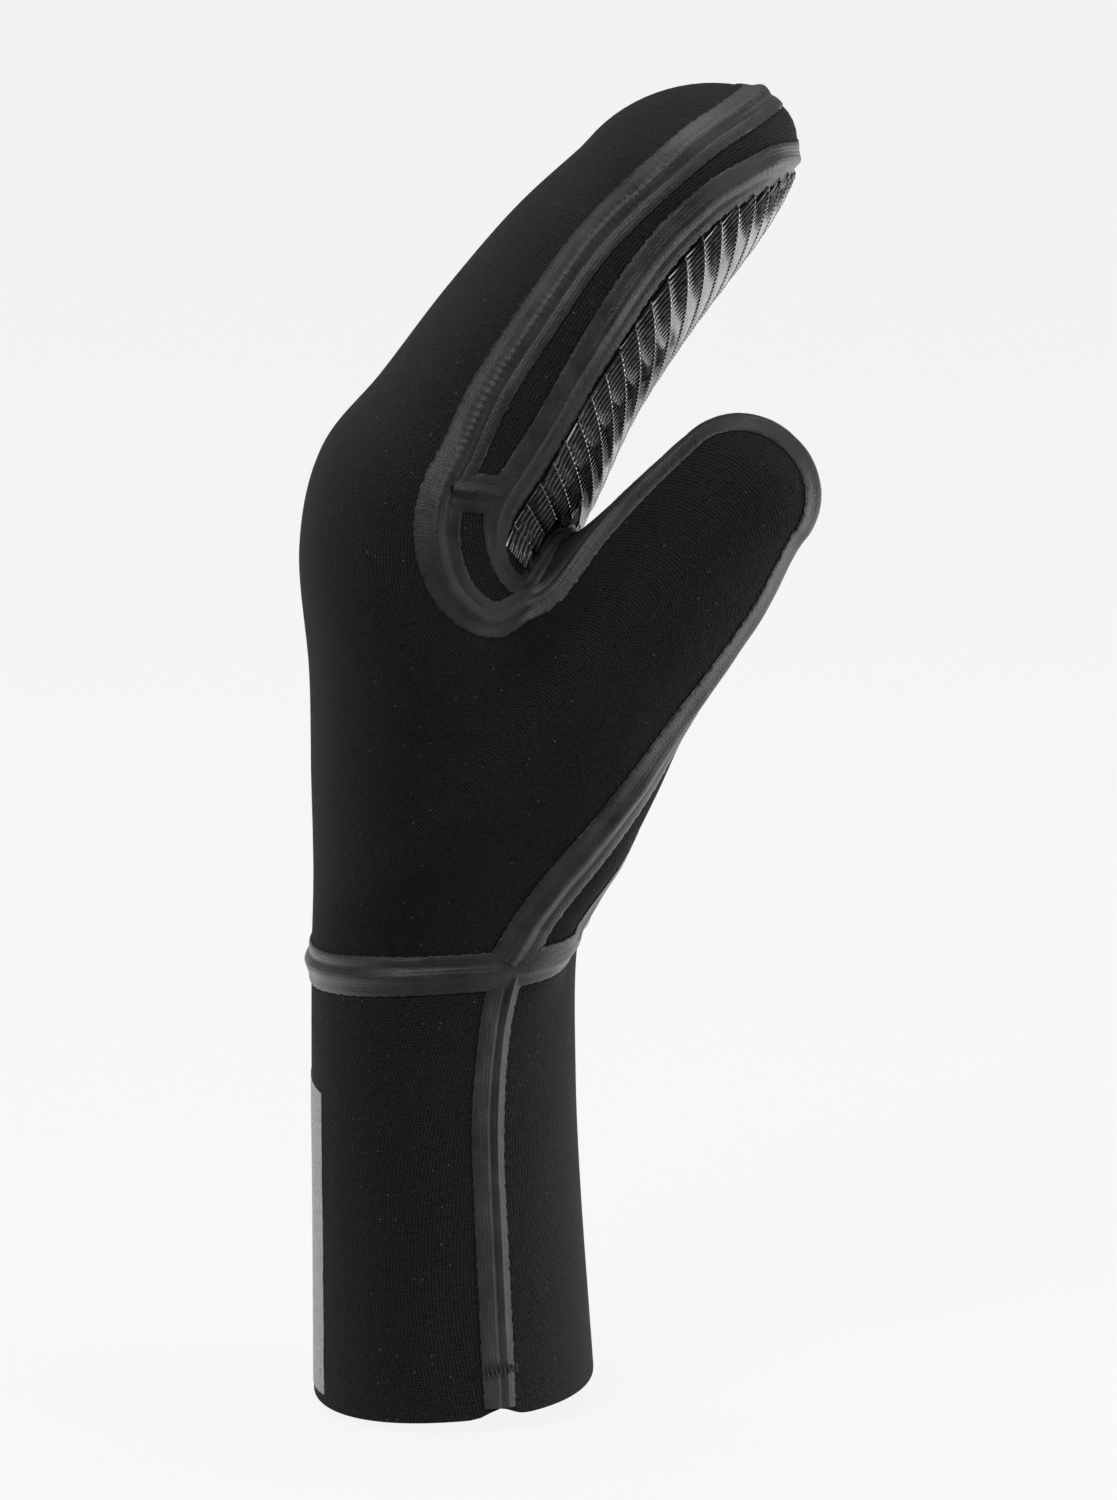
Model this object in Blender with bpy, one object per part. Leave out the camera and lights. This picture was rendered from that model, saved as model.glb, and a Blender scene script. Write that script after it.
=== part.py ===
"""Left-hand wetsuit mitten, standing as it is worn, sewn from knit-faced neoprene.

Metres, +Z up. The origin is the middle of the cuff's mouth, where the hand goes in. -X is the back of
the hand, +X the palm side, -Y the thumb side and +Y the little-finger side. The outer form is a hand
loft and a thumb loft run together. Every panel, tape and print is a sheet laid on that form between
named seams, with its wall taken along the form's own normal, so that neighbours stay parallel.
"""

import bmesh
import bpy
import numpy as np

# Overall sizes
CUFF_HEIGHT = 0.0943
HAND_HEIGHT = 0.1950
FINGER_REACH = 0.0661
HAND_THICKNESS = 0.0636
HAND_BREADTH = 0.0990
CUFF_THICKNESS = 0.0620
CUFF_BREADTH = 0.0840
THUMB_RISE = 0.1230
THUMB_REACH = 0.0794
THUMB_WIDTH = 0.0510
THUMB_DEPTH = 0.0380

# Neoprene walls, seam tapes and prints
HAND_WALL = 0.0050
CUFF_WALL = 0.0040
SEAM_GAP = 0.0008
TAPE_WIDTH = 0.0085
CUFF_TAPE_WIDTH = 0.0073
TAPE_THICKNESS = 0.0008
TAPE_END = 0.0080
CROSS_ENDS = (0.0060, 0.0050)
TAPE_LIFT = 0.0009
TACK_LENGTH = 0.0075
TACK_WIDTH = 0.0018
TACK_THICKNESS = 0.0008
TACK_RISE = 0.0080
GRIP_THICKNESS = 0.0009
GRIP_LIFT = 0.0011
GRIP_MARGIN = 0.0095
PRINT_THICKNESS = 0.0004
PRINT_LIFT = 0.0004

# Rounding of the lofts
HAND_POWER = 2.3
THUMB_POWER = 2.2
FINGERTIP_LENGTH = 0.0336
FINGERTIP_SKEW = 0.0030
THUMB_TIP_LENGTH = 0.0152
THUMB_ROOT_LENGTH = 0.0200
WEB_BLEND = 0.0090

# Cuff sections: rise as a share of the cuff's height, lean as a share of the finger reach, tilt in
# degrees, thickness and breadth as shares of the cuff's
CUFF_SECTIONS = (
    (0.000, 0.002, -3.5, 1.000, 1.000),
    (0.416, -0.020, -3.0, 0.958, 0.940),
    (0.699, -0.030, -3.0, 0.943, 0.917),
    (1.000, -0.027, -2.0, 0.945, 0.917),
)

# Hand sections above the wrist seam: the same columns, as shares of the hand's own sizes
HAND_SECTIONS = (
    (0.093, 0.009, 0.0, 0.981, 0.848),
    (0.196, 0.012, 2.0, 1.000, 0.939),
    (0.310, -0.008, 6.0, 0.975, 0.990),
    (0.429, -0.054, 13.0, 0.962, 1.000),
    (0.521, 0.002, 20.0, 0.931, 0.990),
    (0.593, 0.126, 27.0, 0.846, 0.970),
    (0.683, 0.290, 33.0, 0.767, 0.939),
    (0.772, 0.488, 36.5, 0.717, 0.899),
    (0.848, 0.684, 38.0, 0.667, 0.828),
)

# Thumb sections: rise above the wrist seam and lean as shares of the thumb's rise and reach, tilt in
# degrees, width and depth as shares of the thumb's, and offset to the thumb side as a share of half
# the hand's breadth
THUMB_SECTIONS = (
    (0.111, 0.113, 12.0, 0.725, 0.632, 0.525),
    (0.276, 0.189, 24.0, 0.941, 0.895, 0.566),
    (0.439, 0.298, 34.0, 1.000, 1.000, 0.606),
    (0.565, 0.422, 42.0, 0.925, 0.947, 0.636),
    (0.662, 0.544, 46.0, 0.849, 0.868, 0.667),
    (0.763, 0.675, 46.0, 0.761, 0.800, 0.667),
    (0.866, 0.795, 44.0, 0.637, 0.710, 0.667),
)

# Cells along each stretch of the seams, across each panel and on the bar, and steps of the curves
STRETCH_CELLS = {
    "little_side": 40,
    "fingertip": 14,
    "forefinger": 12,
    "crotch": 8,
    "thumb_top": 4,
    "thumb_tip": 8,
    "thumb_heel": 8,
}
RING_CELLS = {"back": 14, "little_side": 2, "palm": 14, "thumb_side": 8}
CROSS_CELLS = {"gusset": 2}
CROSS_TAPE_CELLS = 1
CUFF_CELLS = {"cuff": 8}
BAR_CELLS = (7, 6)
TABLE_STEPS = 16
CURVE_STEPS = 8
CLEARING_STEPS = 120
HALVINGS = 14

# Seam points are (body, station, angle). A station counts the body's sections from 0 and goes on
# past the last one, over the tip. The angle is 0 at the back, 90 on the thumb side and 180 at the
# palm of the hand, and on the thumb 0 at its upper edge, 90 on its front and 180 at its lower edge.
BACK_SEAM = {
    "little_side": (
        ("hand", 3.05, -82), ("hand", 4.5, -84), ("hand", 6.5, -86), ("hand", 8.5, -84),
        ("hand", 10.2, -78), ("hand", 11.5, -75), ("hand", 12.25, -77),
    ),
    "fingertip": (
        ("hand", 12.55, -77), ("hand", 12.80, -76), ("hand", 12.95, -65), ("hand", 12.99, 0),
        ("hand", 12.95, 65), ("hand", 12.80, 76),
    ),
    "forefinger": (
        ("hand", 12.55, 77), ("hand", 12.25, 77), ("hand", 11.8, 74), ("hand", 11.2, 75),
        ("hand", 10.5, 78), ("hand", 9.6, 80), ("hand", 8.9, 84),
    ),
    "crotch": (
        ("hand", 8.36, 87), ("hand", 7.85, 90), ("hand", 7.40, 94), ("hand", 7.10, 101),
        ("hand", 6.98, 113), ("hand", 7.16, 126),
    ),
    "thumb_top": (("thumb", 3.25, 35), ("thumb", 3.74, 30), ("thumb", 4.30, 22), ("thumb", 5.00, 15)),
    "thumb_tip": (
        ("thumb", 6.00, 12), ("thumb", 6.50, 14), ("thumb", 6.85, 24), ("thumb", 6.975, 90),
        ("thumb", 6.85, 156), ("thumb", 6.50, 166),
    ),
    "thumb_heel": (
        ("thumb", 6.00, 168), ("thumb", 5.00, 167), ("thumb", 4.00, 163), ("thumb", 3.00, 156),
        ("thumb", 2.20, 147), ("thumb", 1.33, 136), ("thumb", 0.60, 126), ("hand", 3.11, 115),
    ),
}
PALM_SEAM = {
    "little_side": (
        ("hand", 3.14, -110), ("hand", 4.5, -108), ("hand", 6.5, -106), ("hand", 8.5, -106),
        ("hand", 10.2, -105), ("hand", 11.5, -102), ("hand", 12.2, -105),
    ),
    "fingertip": (
        ("hand", 12.50, -112), ("hand", 12.70, -128), ("hand", 12.77, -155), ("hand", 12.77, 180),
        ("hand", 12.77, 155), ("hand", 12.70, 128),
    ),
    "forefinger": (
        ("hand", 12.50, 112), ("hand", 12.28, 104), ("hand", 11.85, 100), ("hand", 11.2, 102),
        ("hand", 10.5, 105), ("hand", 9.5, 107),
    ),
    "crotch": (("hand", 8.57, 106), ("hand", 8.40, 110), ("hand", 8.22, 117)),
    "thumb_top": (("hand", 8.18, 126), ("hand", 8.22, 136)),
    "thumb_tip": (("hand", 8.18, 146), ("hand", 7.95, 156), ("hand", 7.45, 163)),
    "thumb_heel": (
        ("hand", 6.85, 166), ("hand", 6.30, 166), ("thumb", 1.85, 208), ("thumb", 1.10, 190),
        ("thumb", 0.45, 182), ("hand", 3.32, 145),
    ),
}
WRIST_RING = {
    "back": (
        ("hand", 3.11, 115), ("hand", 3.06, 90), ("hand", 3.03, 60), ("hand", 3.00, 30),
        ("hand", 3.00, 0), ("hand", 3.00, -30), ("hand", 3.03, -60),
    ),
    "little_side": (("hand", 3.05, -82), ("hand", 3.09, -96)),
    "palm": (
        ("hand", 3.14, -110), ("hand", 3.28, -135), ("hand", 3.38, -160), ("hand", 3.40, 180),
        ("hand", 3.38, 160),
    ),
    "thumb_side": (("hand", 3.32, 145), ("hand", 3.20, 130), ("hand", 3.11, 115)),
}
CROSS_SEAM = {"gusset": (("hand", 8.36, 87), ("hand", 8.50, 97), ("hand", 8.57, 106))}
CUFF_SEAM = {
    "cuff": (
        ("hand", 3.11, 115), ("hand", 2.88, 113), ("hand", 2.34, 109), ("hand", 1.77, 107),
        ("hand", 1.0, 107), ("hand", 0.0, 107),
    ),
}

# How far up the little-finger side and a panel's inner lines the rungs of each stretch reach, as
# shares, from the wrist. The rungs of the thumb leave the hand low, so that they pass under the crotch.
LITTLE_LEVELS = {"thumb_heel": 0.20, "thumb_tip": 0.34, "thumb_top": 0.40, "crotch": 0.55, "forefinger": 1.0}
BACK_LEVELS = {"thumb_heel": 0.06, "thumb_tip": 0.12, "thumb_top": 0.18, "crotch": 0.45, "forefinger": 1.0}
PALM_LEVELS = {"thumb_heel": 0.36, "thumb_tip": 0.60, "thumb_top": 0.65, "crotch": 0.71, "forefinger": 1.0}

# Lines inside the wide panels: station at their two ends, and angle
BACK_LINES = ((3.0, 12.99, 0), (3.06, 12.93, 52))
PALM_LINES = ((3.33, 12.75, -140), (3.39, 12.77, -168))
CUFF_LINES = (
    (3.03, 0, 60), (3.0, 0, 20), (3.0, 0, -20), (3.03, 0, -60), (3.09, 0, -96), (3.28, 0, -135),
    (3.38, 0, -165), (3.38, 0, 165), (3.30, 0, 140),
)
THUMB_BOW = 0.30
SEAM_STEP = 0.0080
EDGE_CROWDING = 0.5
END_EASE = 6
SETTLE_ROUNDS = 10

# Rows of the palm panel left bare at the ends of the grip, and the place of the bar on the cuff's back
GRIP_BARE_ROWS = 3
BAR_STATIONS = (0.04, 2.05)
BAR_ANGLES = (-27, 27)

# Colour and roughness
NEOPRENE = ((0.012, 0.012, 0.013), 0.85)
TAPE_RUBBER = ((0.045, 0.046, 0.050), 0.55)
GRIP_RUBBER = ((0.010, 0.010, 0.011), 0.25)
SILVER_PRINT = ((0.36, 0.36, 0.35), 0.60)
THREAD = ((0.008, 0.008, 0.009), 0.80)

PROBE = 0.00005
SHARP_ANGLE = np.radians(50)


def smooth_line(points, steps=CURVE_STEPS):
    """A Catmull-Rom curve through the points on the second-last axis."""
    first = 2 * points[..., :1, :] - points[..., 1:2, :]
    last = 2 * points[..., -1:, :] - points[..., -2:-1, :]
    padded = np.concatenate([first, points, last], axis=-2)
    spans = points.shape[-2] - 1
    place = np.linspace(0, spans, spans * steps + 1)
    span = np.clip(place.astype(int), 0, spans - 1)
    t = (place - span)[:, None]
    p0, p1, p2, p3 = (padded[..., span + ahead, :] for ahead in range(4))
    bend = (2 * p0 - 5 * p1 + 4 * p2 - p3) * t**2 + (3 * p1 - p0 - 3 * p2 + p3) * t**3
    return 0.5 * (2 * p1 + (p2 - p0) * t + bend)


def length_shares(line):
    """How far along the line each of its points lies, from 0 to 1."""
    steps = np.linalg.norm(np.diff(line, axis=0), axis=1)
    length = np.concatenate([[0], np.cumsum(steps)])
    return length / length[-1]


def spread(line, shares):
    """Points at the given shares of a line's length."""
    along = length_shares(line)
    return np.stack([np.interp(shares, along, column) for column in line.T], axis=1)


def evenly(line, cells):
    return spread(line, np.linspace(0, 1, cells + 1))


def joined(parts):
    """Stretches strung into one line, without their doubled end points."""
    return np.concatenate([parts[0]] + [part[1:] for part in parts[1:]])


def trimmed(line, start, end):
    """The line cut short by a length at each end, with its points between them kept."""
    whole = np.linalg.norm(np.diff(line, axis=0), axis=1).sum()
    shares = length_shares(line)
    kept = shares[(shares > start / whole) & (shares < 1 - end / whole)]
    return spread(line, np.concatenate([[start / whole], kept, [1 - end / whole]]))


def clear_of(rim, line, margin):
    """The middle stretch of the line that keeps a margin to the rim, two cells shorter."""
    fine = evenly(smooth_line(line), CLEARING_STEPS)
    near = np.linalg.norm(fine[:, None] - rim[None], axis=2).min(axis=1) < margin
    middle = len(fine) // 2
    first = np.flatnonzero(near[:middle])[-1] + 1
    last = middle + np.flatnonzero(near[middle:])[0] - 1
    return evenly(fine[first:last + 1], len(line) - 3)


def levels(reach):
    """Shares up a line for every rung, from the share that each stretch reaches."""
    bounds = [0.0, *reach.values()]
    return joined([
        np.linspace(low, high, STRETCH_CELLS[name] + 1)
        for name, low, high in zip(reach, bounds[:-1], bounds[1:])
    ])


def hand_rows():
    """Section rows of x, z, tilt, half thickness, half breadth and y, for cuff and hand."""
    cuff = [
        (lean * FINGER_REACH, rise * CUFF_HEIGHT, np.radians(tilt),
         thick * CUFF_THICKNESS / 2, broad * CUFF_BREADTH / 2, 0.0)
        for rise, lean, tilt, thick, broad in CUFF_SECTIONS
    ]
    hand = [
        (lean * FINGER_REACH, CUFF_HEIGHT + rise * HAND_HEIGHT, np.radians(tilt),
         thick * HAND_THICKNESS / 2, broad * HAND_BREADTH / 2, 0.0)
        for rise, lean, tilt, thick, broad in HAND_SECTIONS
    ]
    return np.array(cuff + hand)


def thumb_rows():
    """The thumb's section rows, in the same columns."""
    return np.array([
        (lean * THUMB_REACH, CUFF_HEIGHT + rise * THUMB_RISE, np.radians(tilt),
         wide * THUMB_WIDTH / 2, deep * THUMB_DEPTH / 2, -aside * HAND_BREADTH / 2)
        for rise, lean, tilt, wide, deep, aside in THUMB_SECTIONS
    ])


class Loft:
    """Superellipse sections standing across the XZ plane, with a rounded tip."""

    def __init__(self, rows, power, tip_length, skew=0.0, root_length=None):
        self.table = smooth_line(rows, TABLE_STEPS)
        self.last = len(rows) - 1
        self.power = power
        self.tip_length = tip_length
        self.skew = skew
        self.root_length = root_length

    def section(self, station):
        place = np.clip(station * TABLE_STEPS, 0, len(self.table) - 1)
        return [np.interp(place, np.arange(len(self.table)), column) for column in self.table.T]

    def point(self, station, angle):
        """The surface point at a station and an angle in degrees."""
        x, z, tilt, half, deep, side = self.section(station)
        past = np.clip(station - self.last, 0, 1)
        ring = np.sqrt(1 - past**2)
        cosine = np.cos(np.radians(angle))
        sine = np.sin(np.radians(angle))
        across = -half * ring * np.sign(cosine) * np.abs(cosine) ** (2 / self.power)
        across = across + self.skew * past**2
        y = side - deep * ring * np.sign(sine) * np.abs(sine) ** (2 / self.power)
        along = past * self.tip_length
        return np.stack([
            x + across * np.cos(tilt) + along * np.sin(tilt),
            y,
            z - across * np.sin(tilt) + along * np.cos(tilt),
        ], axis=-1)

    def station_of(self, points):
        """The station whose section plane holds each point, by halving."""
        low = np.zeros(len(points))
        high = np.full(len(points), float(self.last))
        for _ in range(HALVINGS):
            middle = (low + high) / 2
            x, z, tilt = self.section(middle)[:3]
            above = (points[:, 0] - x) * np.sin(tilt) + (points[:, 2] - z) * np.cos(tilt) > 0
            low = np.where(above, middle, low)
            high = np.where(above, high, middle)
        return (low + high) / 2

    def distance(self, points):
        """About how far points lie outside the loft."""
        station = self.station_of(points)
        x, z, tilt, half, deep, side = self.section(station)
        dx = points[:, 0] - x
        dz = points[:, 2] - z
        along = dx * np.sin(tilt) + dz * np.cos(tilt)
        past = np.where(station > self.last - 0.01, np.maximum(along, 0), 0) / self.tip_length
        if self.root_length:
            past = past + np.where(station < 0.01, np.maximum(-along, 0), 0) / self.root_length
        across = dx * np.cos(tilt) - dz * np.sin(tilt) - self.skew * past**2
        y = points[:, 1] - side
        ring = np.abs(across / half) ** self.power + np.abs(y / deep) ** self.power
        size = np.sqrt(ring ** (2 / self.power) + past**2)
        reach = np.sqrt(across**2 + y**2 + (past * self.tip_length) ** 2)
        return reach * (1 - 1 / np.maximum(size, PROBE))


class Form:
    """The mitten's outside: hand and thumb run together with a rounded web."""

    def __init__(self):
        self.hand = Loft(hand_rows(), HAND_POWER, FINGERTIP_LENGTH, skew=FINGERTIP_SKEW)
        self.thumb = Loft(thumb_rows(), THUMB_POWER, THUMB_TIP_LENGTH, root_length=THUMB_ROOT_LENGTH)
        self.bodies = {"hand": self.hand, "thumb": self.thumb}

    def distance(self, points):
        hand = self.hand.distance(points)
        thumb = self.thumb.distance(points)
        share = np.clip(0.5 + 0.5 * (thumb - hand) / WEB_BLEND, 0, 1)
        return thumb * (1 - share) + hand * share - WEB_BLEND * share * (1 - share)

    def slope(self, points):
        return np.stack([
            (self.distance(points + PROBE * axis) - self.distance(points - PROBE * axis)) / (2 * PROBE)
            for axis in np.eye(3)
        ], axis=1)

    def normals(self, grid):
        slope = self.slope(grid.reshape(-1, 3)).reshape(grid.shape)
        return slope / np.linalg.norm(slope, axis=-1, keepdims=True)

    def lay_on(self, grid, rounds=6):
        """The points moved onto the surface, down the slope of the distance."""
        flat = grid.reshape(-1, 3).copy()
        for _ in range(rounds):
            slope = self.slope(flat)
            flat -= self.distance(flat)[:, None] * slope / (slope**2).sum(axis=1, keepdims=True)
        return flat.reshape(grid.shape)

    def points(self, places):
        return self.lay_on(np.array([
            self.bodies[body].point(np.float64(station), angle) for body, station, angle in places
        ]))

    def line(self, ends, shares):
        """A line up the hand at one angle, with points at the given shares of it."""
        first, last, angle = ends
        stations = np.linspace(first, last, 4 * len(shares))
        return self.lay_on(spread(self.hand.point(stations, angle + 0 * stations), shares))

    def behind(self, left, right):
        """The line halfway between two others, on the surface that faces the little-finger side."""
        apart = np.linalg.norm(right - left, axis=1, keepdims=True)
        return self.lay_on((left + right) / 2 + THUMB_BOW * apart * np.array([0.0, 1.0, 0.0]))


def inward(form, line, towards):
    """Unit steps off a line, square to it along the surface, to the side where another line lies."""
    step = np.cross(form.normals(line), np.gradient(line, axis=0))
    step /= np.linalg.norm(step, axis=1, keepdims=True)
    return step * np.sign((step * (towards - line)).sum())


def lay_seam(form, stretches, cells, shares=None):
    """Each stretch of a seam as points, evenly spaced unless it has shares of its own. Neighbours
    share their end point."""
    names = list(stretches)
    counts = [len(stretches[name]) for name in names]
    starts = np.cumsum([0] + counts)
    starts[-1] -= 1
    controls = form.points([place for name in names for place in stretches[name]])
    line = form.lay_on(smooth_line(controls))
    laid = {}
    for name, first, last in zip(names, starts[:-1], starts[1:]):
        stretch = line[first * CURVE_STEPS:last * CURVE_STEPS + 1]
        places = (shares or {}).get(name, np.linspace(0, 1, cells[name] + 1))
        laid[name] = form.lay_on(spread(stretch, places))
    return laid


def settled(grid):
    """The inner points of a grid, moved so that its lines spread evenly and don't fold over a notch.
    Each direction's bend is weighed by the spacing in the other one, as in Winslow's method."""
    down = (grid[2:, 1:-1] - grid[:-2, 1:-1]) / 2
    over = (grid[1:-1, 2:] - grid[1:-1, :-2]) / 2
    down_weight = (over**2).sum(axis=2, keepdims=True)
    over_weight = (down**2).sum(axis=2, keepdims=True)
    shear = (down * over).sum(axis=2, keepdims=True) / 2
    twist = grid[2:, 2:] - grid[2:, :-2] - grid[:-2, 2:] + grid[:-2, :-2]
    pull = down_weight * (grid[2:, 1:-1] + grid[:-2, 1:-1])
    pull = pull + over_weight * (grid[1:-1, 2:] + grid[1:-1, :-2]) - shear * twist
    return pull / (2 * (down_weight + over_weight))


def sheet_grid(form, left, right, bottom, top, lines=()):
    """A grid on the form inside four seams: rungs from left to right through the lines, with their
    points closer by the seams, eased at the ends to meet the bottom and top seams."""
    rungs = smooth_line(np.stack([left, *lines, right], axis=1))
    up = np.linspace(0, 1, len(left))[:, None]
    near_bottom = (1 - up) ** END_EASE
    near_top = up**END_EASE
    across = (1 - up) * length_shares(bottom) + up * length_shares(top)
    crowding = EDGE_CROWDING * (1 - near_bottom - near_top)
    across = across - crowding * np.sin(2 * np.pi * across) / (2 * np.pi)
    grid = np.stack([spread(rung, shares) for rung, shares in zip(rungs, across)])
    grid += near_bottom[..., None] * (bottom - grid[0]) + near_top[..., None] * (top - grid[-1])
    grid = form.lay_on(grid)
    grid[0], grid[-1], grid[:, 0], grid[:, -1] = bottom, top, left, right
    for _ in range(SETTLE_ROUNDS):
        grid[1:-1, 1:-1] = form.lay_on(settled(grid), rounds=1)
    return grid


def pulled_in(form, grid):
    """The grid with its rim drawn in along the surface by half the seam's gap."""
    moved = grid.copy()
    for edge, inner in ((0, 1), (-1, -2)):
        moved[edge] += inward(form, grid[edge], grid[inner]) * SEAM_GAP / 2
        moved[:, edge] += inward(form, grid[:, edge], grid[:, inner]) * SEAM_GAP / 2
    return moved


def add_solid(collection, name, outer, inner, finish, closed=False):
    """A sheet between two grids, lofted from row to row and closed at its ends or on itself."""
    loops = np.concatenate([outer, inner[:, ::-1]], axis=1)
    if closed:
        loops = loops[:-1]
    rows, corners = loops.shape[:2]
    spans = rows if closed else rows - 1
    faces = [
        (
            row * corners + corner,
            row * corners + (corner + 1) % corners,
            (row + 1) % rows * corners + (corner + 1) % corners,
            (row + 1) % rows * corners + corner,
        )
        for row in range(spans)
        for corner in range(corners)
    ]
    if not closed:
        for start in (0, (rows - 1) * corners):
            faces += [
                (start + cell, start + cell + 1, start + corners - 2 - cell, start + corners - 1 - cell)
                for cell in range(corners // 2 - 1)
            ]
    mesh = bpy.data.meshes.new(name)
    mesh.from_pydata(loops.reshape(-1, 3).tolist(), [], faces)
    shape = bmesh.new()
    shape.from_mesh(mesh)
    bmesh.ops.recalc_face_normals(shape, faces=shape.faces[:])
    shape.to_mesh(mesh)
    shape.free()
    mesh.shade_smooth()
    mesh.set_sharp_from_angle(angle=SHARP_ANGLE)
    obj = bpy.data.objects.new(name, mesh)
    collection.objects.link(obj)
    obj.data.materials.append(material(name, finish))


def material(name, finish):
    colour, roughness = finish
    made = bpy.data.materials.new(name)
    made.use_nodes = True
    shader = made.node_tree.nodes["Principled BSDF"]
    shader.inputs["Base Color"].default_value = (*colour, 1.0)
    shader.inputs["Roughness"].default_value = roughness
    shader.inputs["Metallic"].default_value = 0.0
    return made


def add_panel(collection, form, name, grid, wall):
    """A neoprene panel inside the form."""
    outer = pulled_in(form, grid)
    add_solid(collection, name, outer, outer - wall * form.normals(outer), NEOPRENE)


def add_skin(collection, form, name, grid, lift, thickness, finish, closed=False):
    """A thin layer that lies on the panels."""
    normals = form.normals(grid)
    outer = grid + (lift + thickness) * normals
    add_solid(collection, name, outer, grid + lift * normals, finish, closed)


def ribbon(form, line, width, closed=False):
    """A grid of three points across, centred on a line."""
    if closed:
        loop = line[:-1]
        ahead = np.roll(loop, -1, axis=0) - np.roll(loop, 1, axis=0)
        ahead = np.concatenate([ahead, ahead[:1]])
    else:
        ahead = np.gradient(line, axis=0)
    aside = np.cross(form.normals(line), ahead)
    aside /= np.linalg.norm(aside, axis=1, keepdims=True)
    return form.lay_on(np.stack([line + share * width * aside for share in (-0.5, 0, 0.5)], axis=1))


def add_tape(collection, form, name, line, width, closed=False):
    grid = ribbon(form, line, width, closed)
    add_skin(collection, form, name, grid, TAPE_LIFT, TAPE_THICKNESS, TAPE_RUBBER, closed)


def add_hand_panels(collection, form, back, palm, ring, cross):
    """Back, palm, finger gusset and thumb panel, from the seams that bound them."""
    around_fingers = ("little_side", "fingertip", "forefinger")
    around_thumb = ("crotch", "thumb_top", "thumb_tip", "thumb_heel")
    back_thumb = joined([back[name] for name in around_thumb])
    palm_thumb = joined([palm[name] for name in around_thumb])
    little = levels(LITTLE_LEVELS)

    back_side = joined([back["forefinger"], back_thumb])[::-1]
    low = levels(BACK_LEVELS)
    midline = form.line(BACK_LINES[0], (little + low) / 2)
    shoulder = form.line(BACK_LINES[1], low)
    beside = form.lay_on(back_side + SEAM_STEP * inward(form, back_side, shoulder))
    back_grid = sheet_grid(form, back["little_side"], back_side, ring["back"][::-1], back["fingertip"],
                           [midline, shoulder, beside])
    add_panel(collection, form, "back_panel", back_grid, HAND_WALL)

    palm_side = joined([palm["forefinger"], palm_thumb])[::-1]
    low = levels(PALM_LEVELS)
    outer_line = form.line(PALM_LINES[0], (little + low) / 2)
    midline = form.line(PALM_LINES[1], low)
    beside = form.lay_on(palm_side + SEAM_STEP * inward(form, palm_side, midline))
    palm_grid = sheet_grid(form, palm["little_side"], palm_side, ring["palm"], palm["fingertip"],
                           [outer_line, midline, beside])
    add_panel(collection, form, "palm_panel", palm_grid, HAND_WALL)

    gusset_grid = sheet_grid(form, joined([back[name] for name in around_fingers]),
                             joined([palm[name] for name in around_fingers]), ring["little_side"], cross)
    add_panel(collection, form, "finger_gusset", gusset_grid, HAND_WALL)

    thumb_grid = sheet_grid(form, back_thumb, palm_thumb, evenly(cross, RING_CELLS["thumb_side"]),
                            ring["thumb_side"][::-1], [form.behind(back_thumb, palm_thumb)])
    add_panel(collection, form, "thumb_panel", thumb_grid, HAND_WALL)

    rim = np.concatenate([smooth_line(palm["little_side"], 2), smooth_line(palm_side, 2)])
    rows = palm_grid[GRIP_BARE_ROWS:-GRIP_BARE_ROWS]
    grip = form.lay_on(np.stack([clear_of(rim, row, GRIP_MARGIN) for row in rows]))
    add_skin(collection, form, "grip_print", grip, GRIP_LIFT, GRIP_THICKNESS, GRIP_RUBBER)


def add_cuff(collection, form, ring, seam):
    """One sheet wrapped round from its seam on the thumb side, with a bar on its back."""
    around = joined(list(ring.values()))
    turn = np.linspace(CUFF_SEAM["cuff"][-1][2], CUFF_SEAM["cuff"][-1][2] - 360, 8 * len(around))
    hem = spread(form.hand.point(0 * turn, turn), length_shares(around))
    shares = length_shares(seam)
    lines = [form.line(ends, shares) for ends in CUFF_LINES]
    hem[0] = seam[-1]
    hem[-1] = seam[-1]
    grid = sheet_grid(form, seam, seam, around, hem, lines)
    add_panel(collection, form, "cuff", grid, CUFF_WALL)

    stations = np.linspace(*BAR_STATIONS, BAR_CELLS[0] + 1)[:, None]
    angles = np.linspace(*BAR_ANGLES, BAR_CELLS[1] + 1)[None, :]
    bar = form.lay_on(form.hand.point(stations + 0 * angles, angles + 0 * stations))
    add_skin(collection, form, "cuff_bar", bar, PRINT_LIFT, PRINT_THICKNESS, SILVER_PRINT)


def add_tapes(collection, form, back, palm, ring, cross, seam):
    """Tapes over the seams, cut short where they run up to another tape."""
    add_tape(collection, form, "back_seam_tape",
             trimmed(joined(list(back.values())), TAPE_END, TAPE_END), TAPE_WIDTH)
    add_tape(collection, form, "palm_seam_tape",
             trimmed(joined(list(palm.values())), TAPE_END, TAPE_END), TAPE_WIDTH)
    add_tape(collection, form, "cross_seam_tape", evenly(trimmed(cross, *CROSS_ENDS), CROSS_TAPE_CELLS),
             TAPE_WIDTH)
    add_tape(collection, form, "wrist_tape", joined(list(ring.values())), TAPE_WIDTH, closed=True)
    add_tape(collection, form, "cuff_seam_tape", trimmed(seam, TAPE_END, SEAM_GAP), CUFF_TAPE_WIDTH)


def add_tack(collection, form, seam):
    """Thread tack that lies across the cuff's tape just above the hem."""
    low = spread(seam[::-1], np.array([TACK_RISE / CUFF_HEIGHT]))[0]
    shares = np.linspace(-0.5, 0.5, 5)
    line = form.lay_on(low + shares[:, None] * TACK_LENGTH * np.array([1.0, 0.0, 0.0]))
    lift = TAPE_LIFT + TAPE_THICKNESS + SEAM_GAP
    add_skin(collection, form, "hem_bartack", ribbon(form, line, TACK_WIDTH), lift, TACK_THICKNESS, THREAD)


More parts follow.
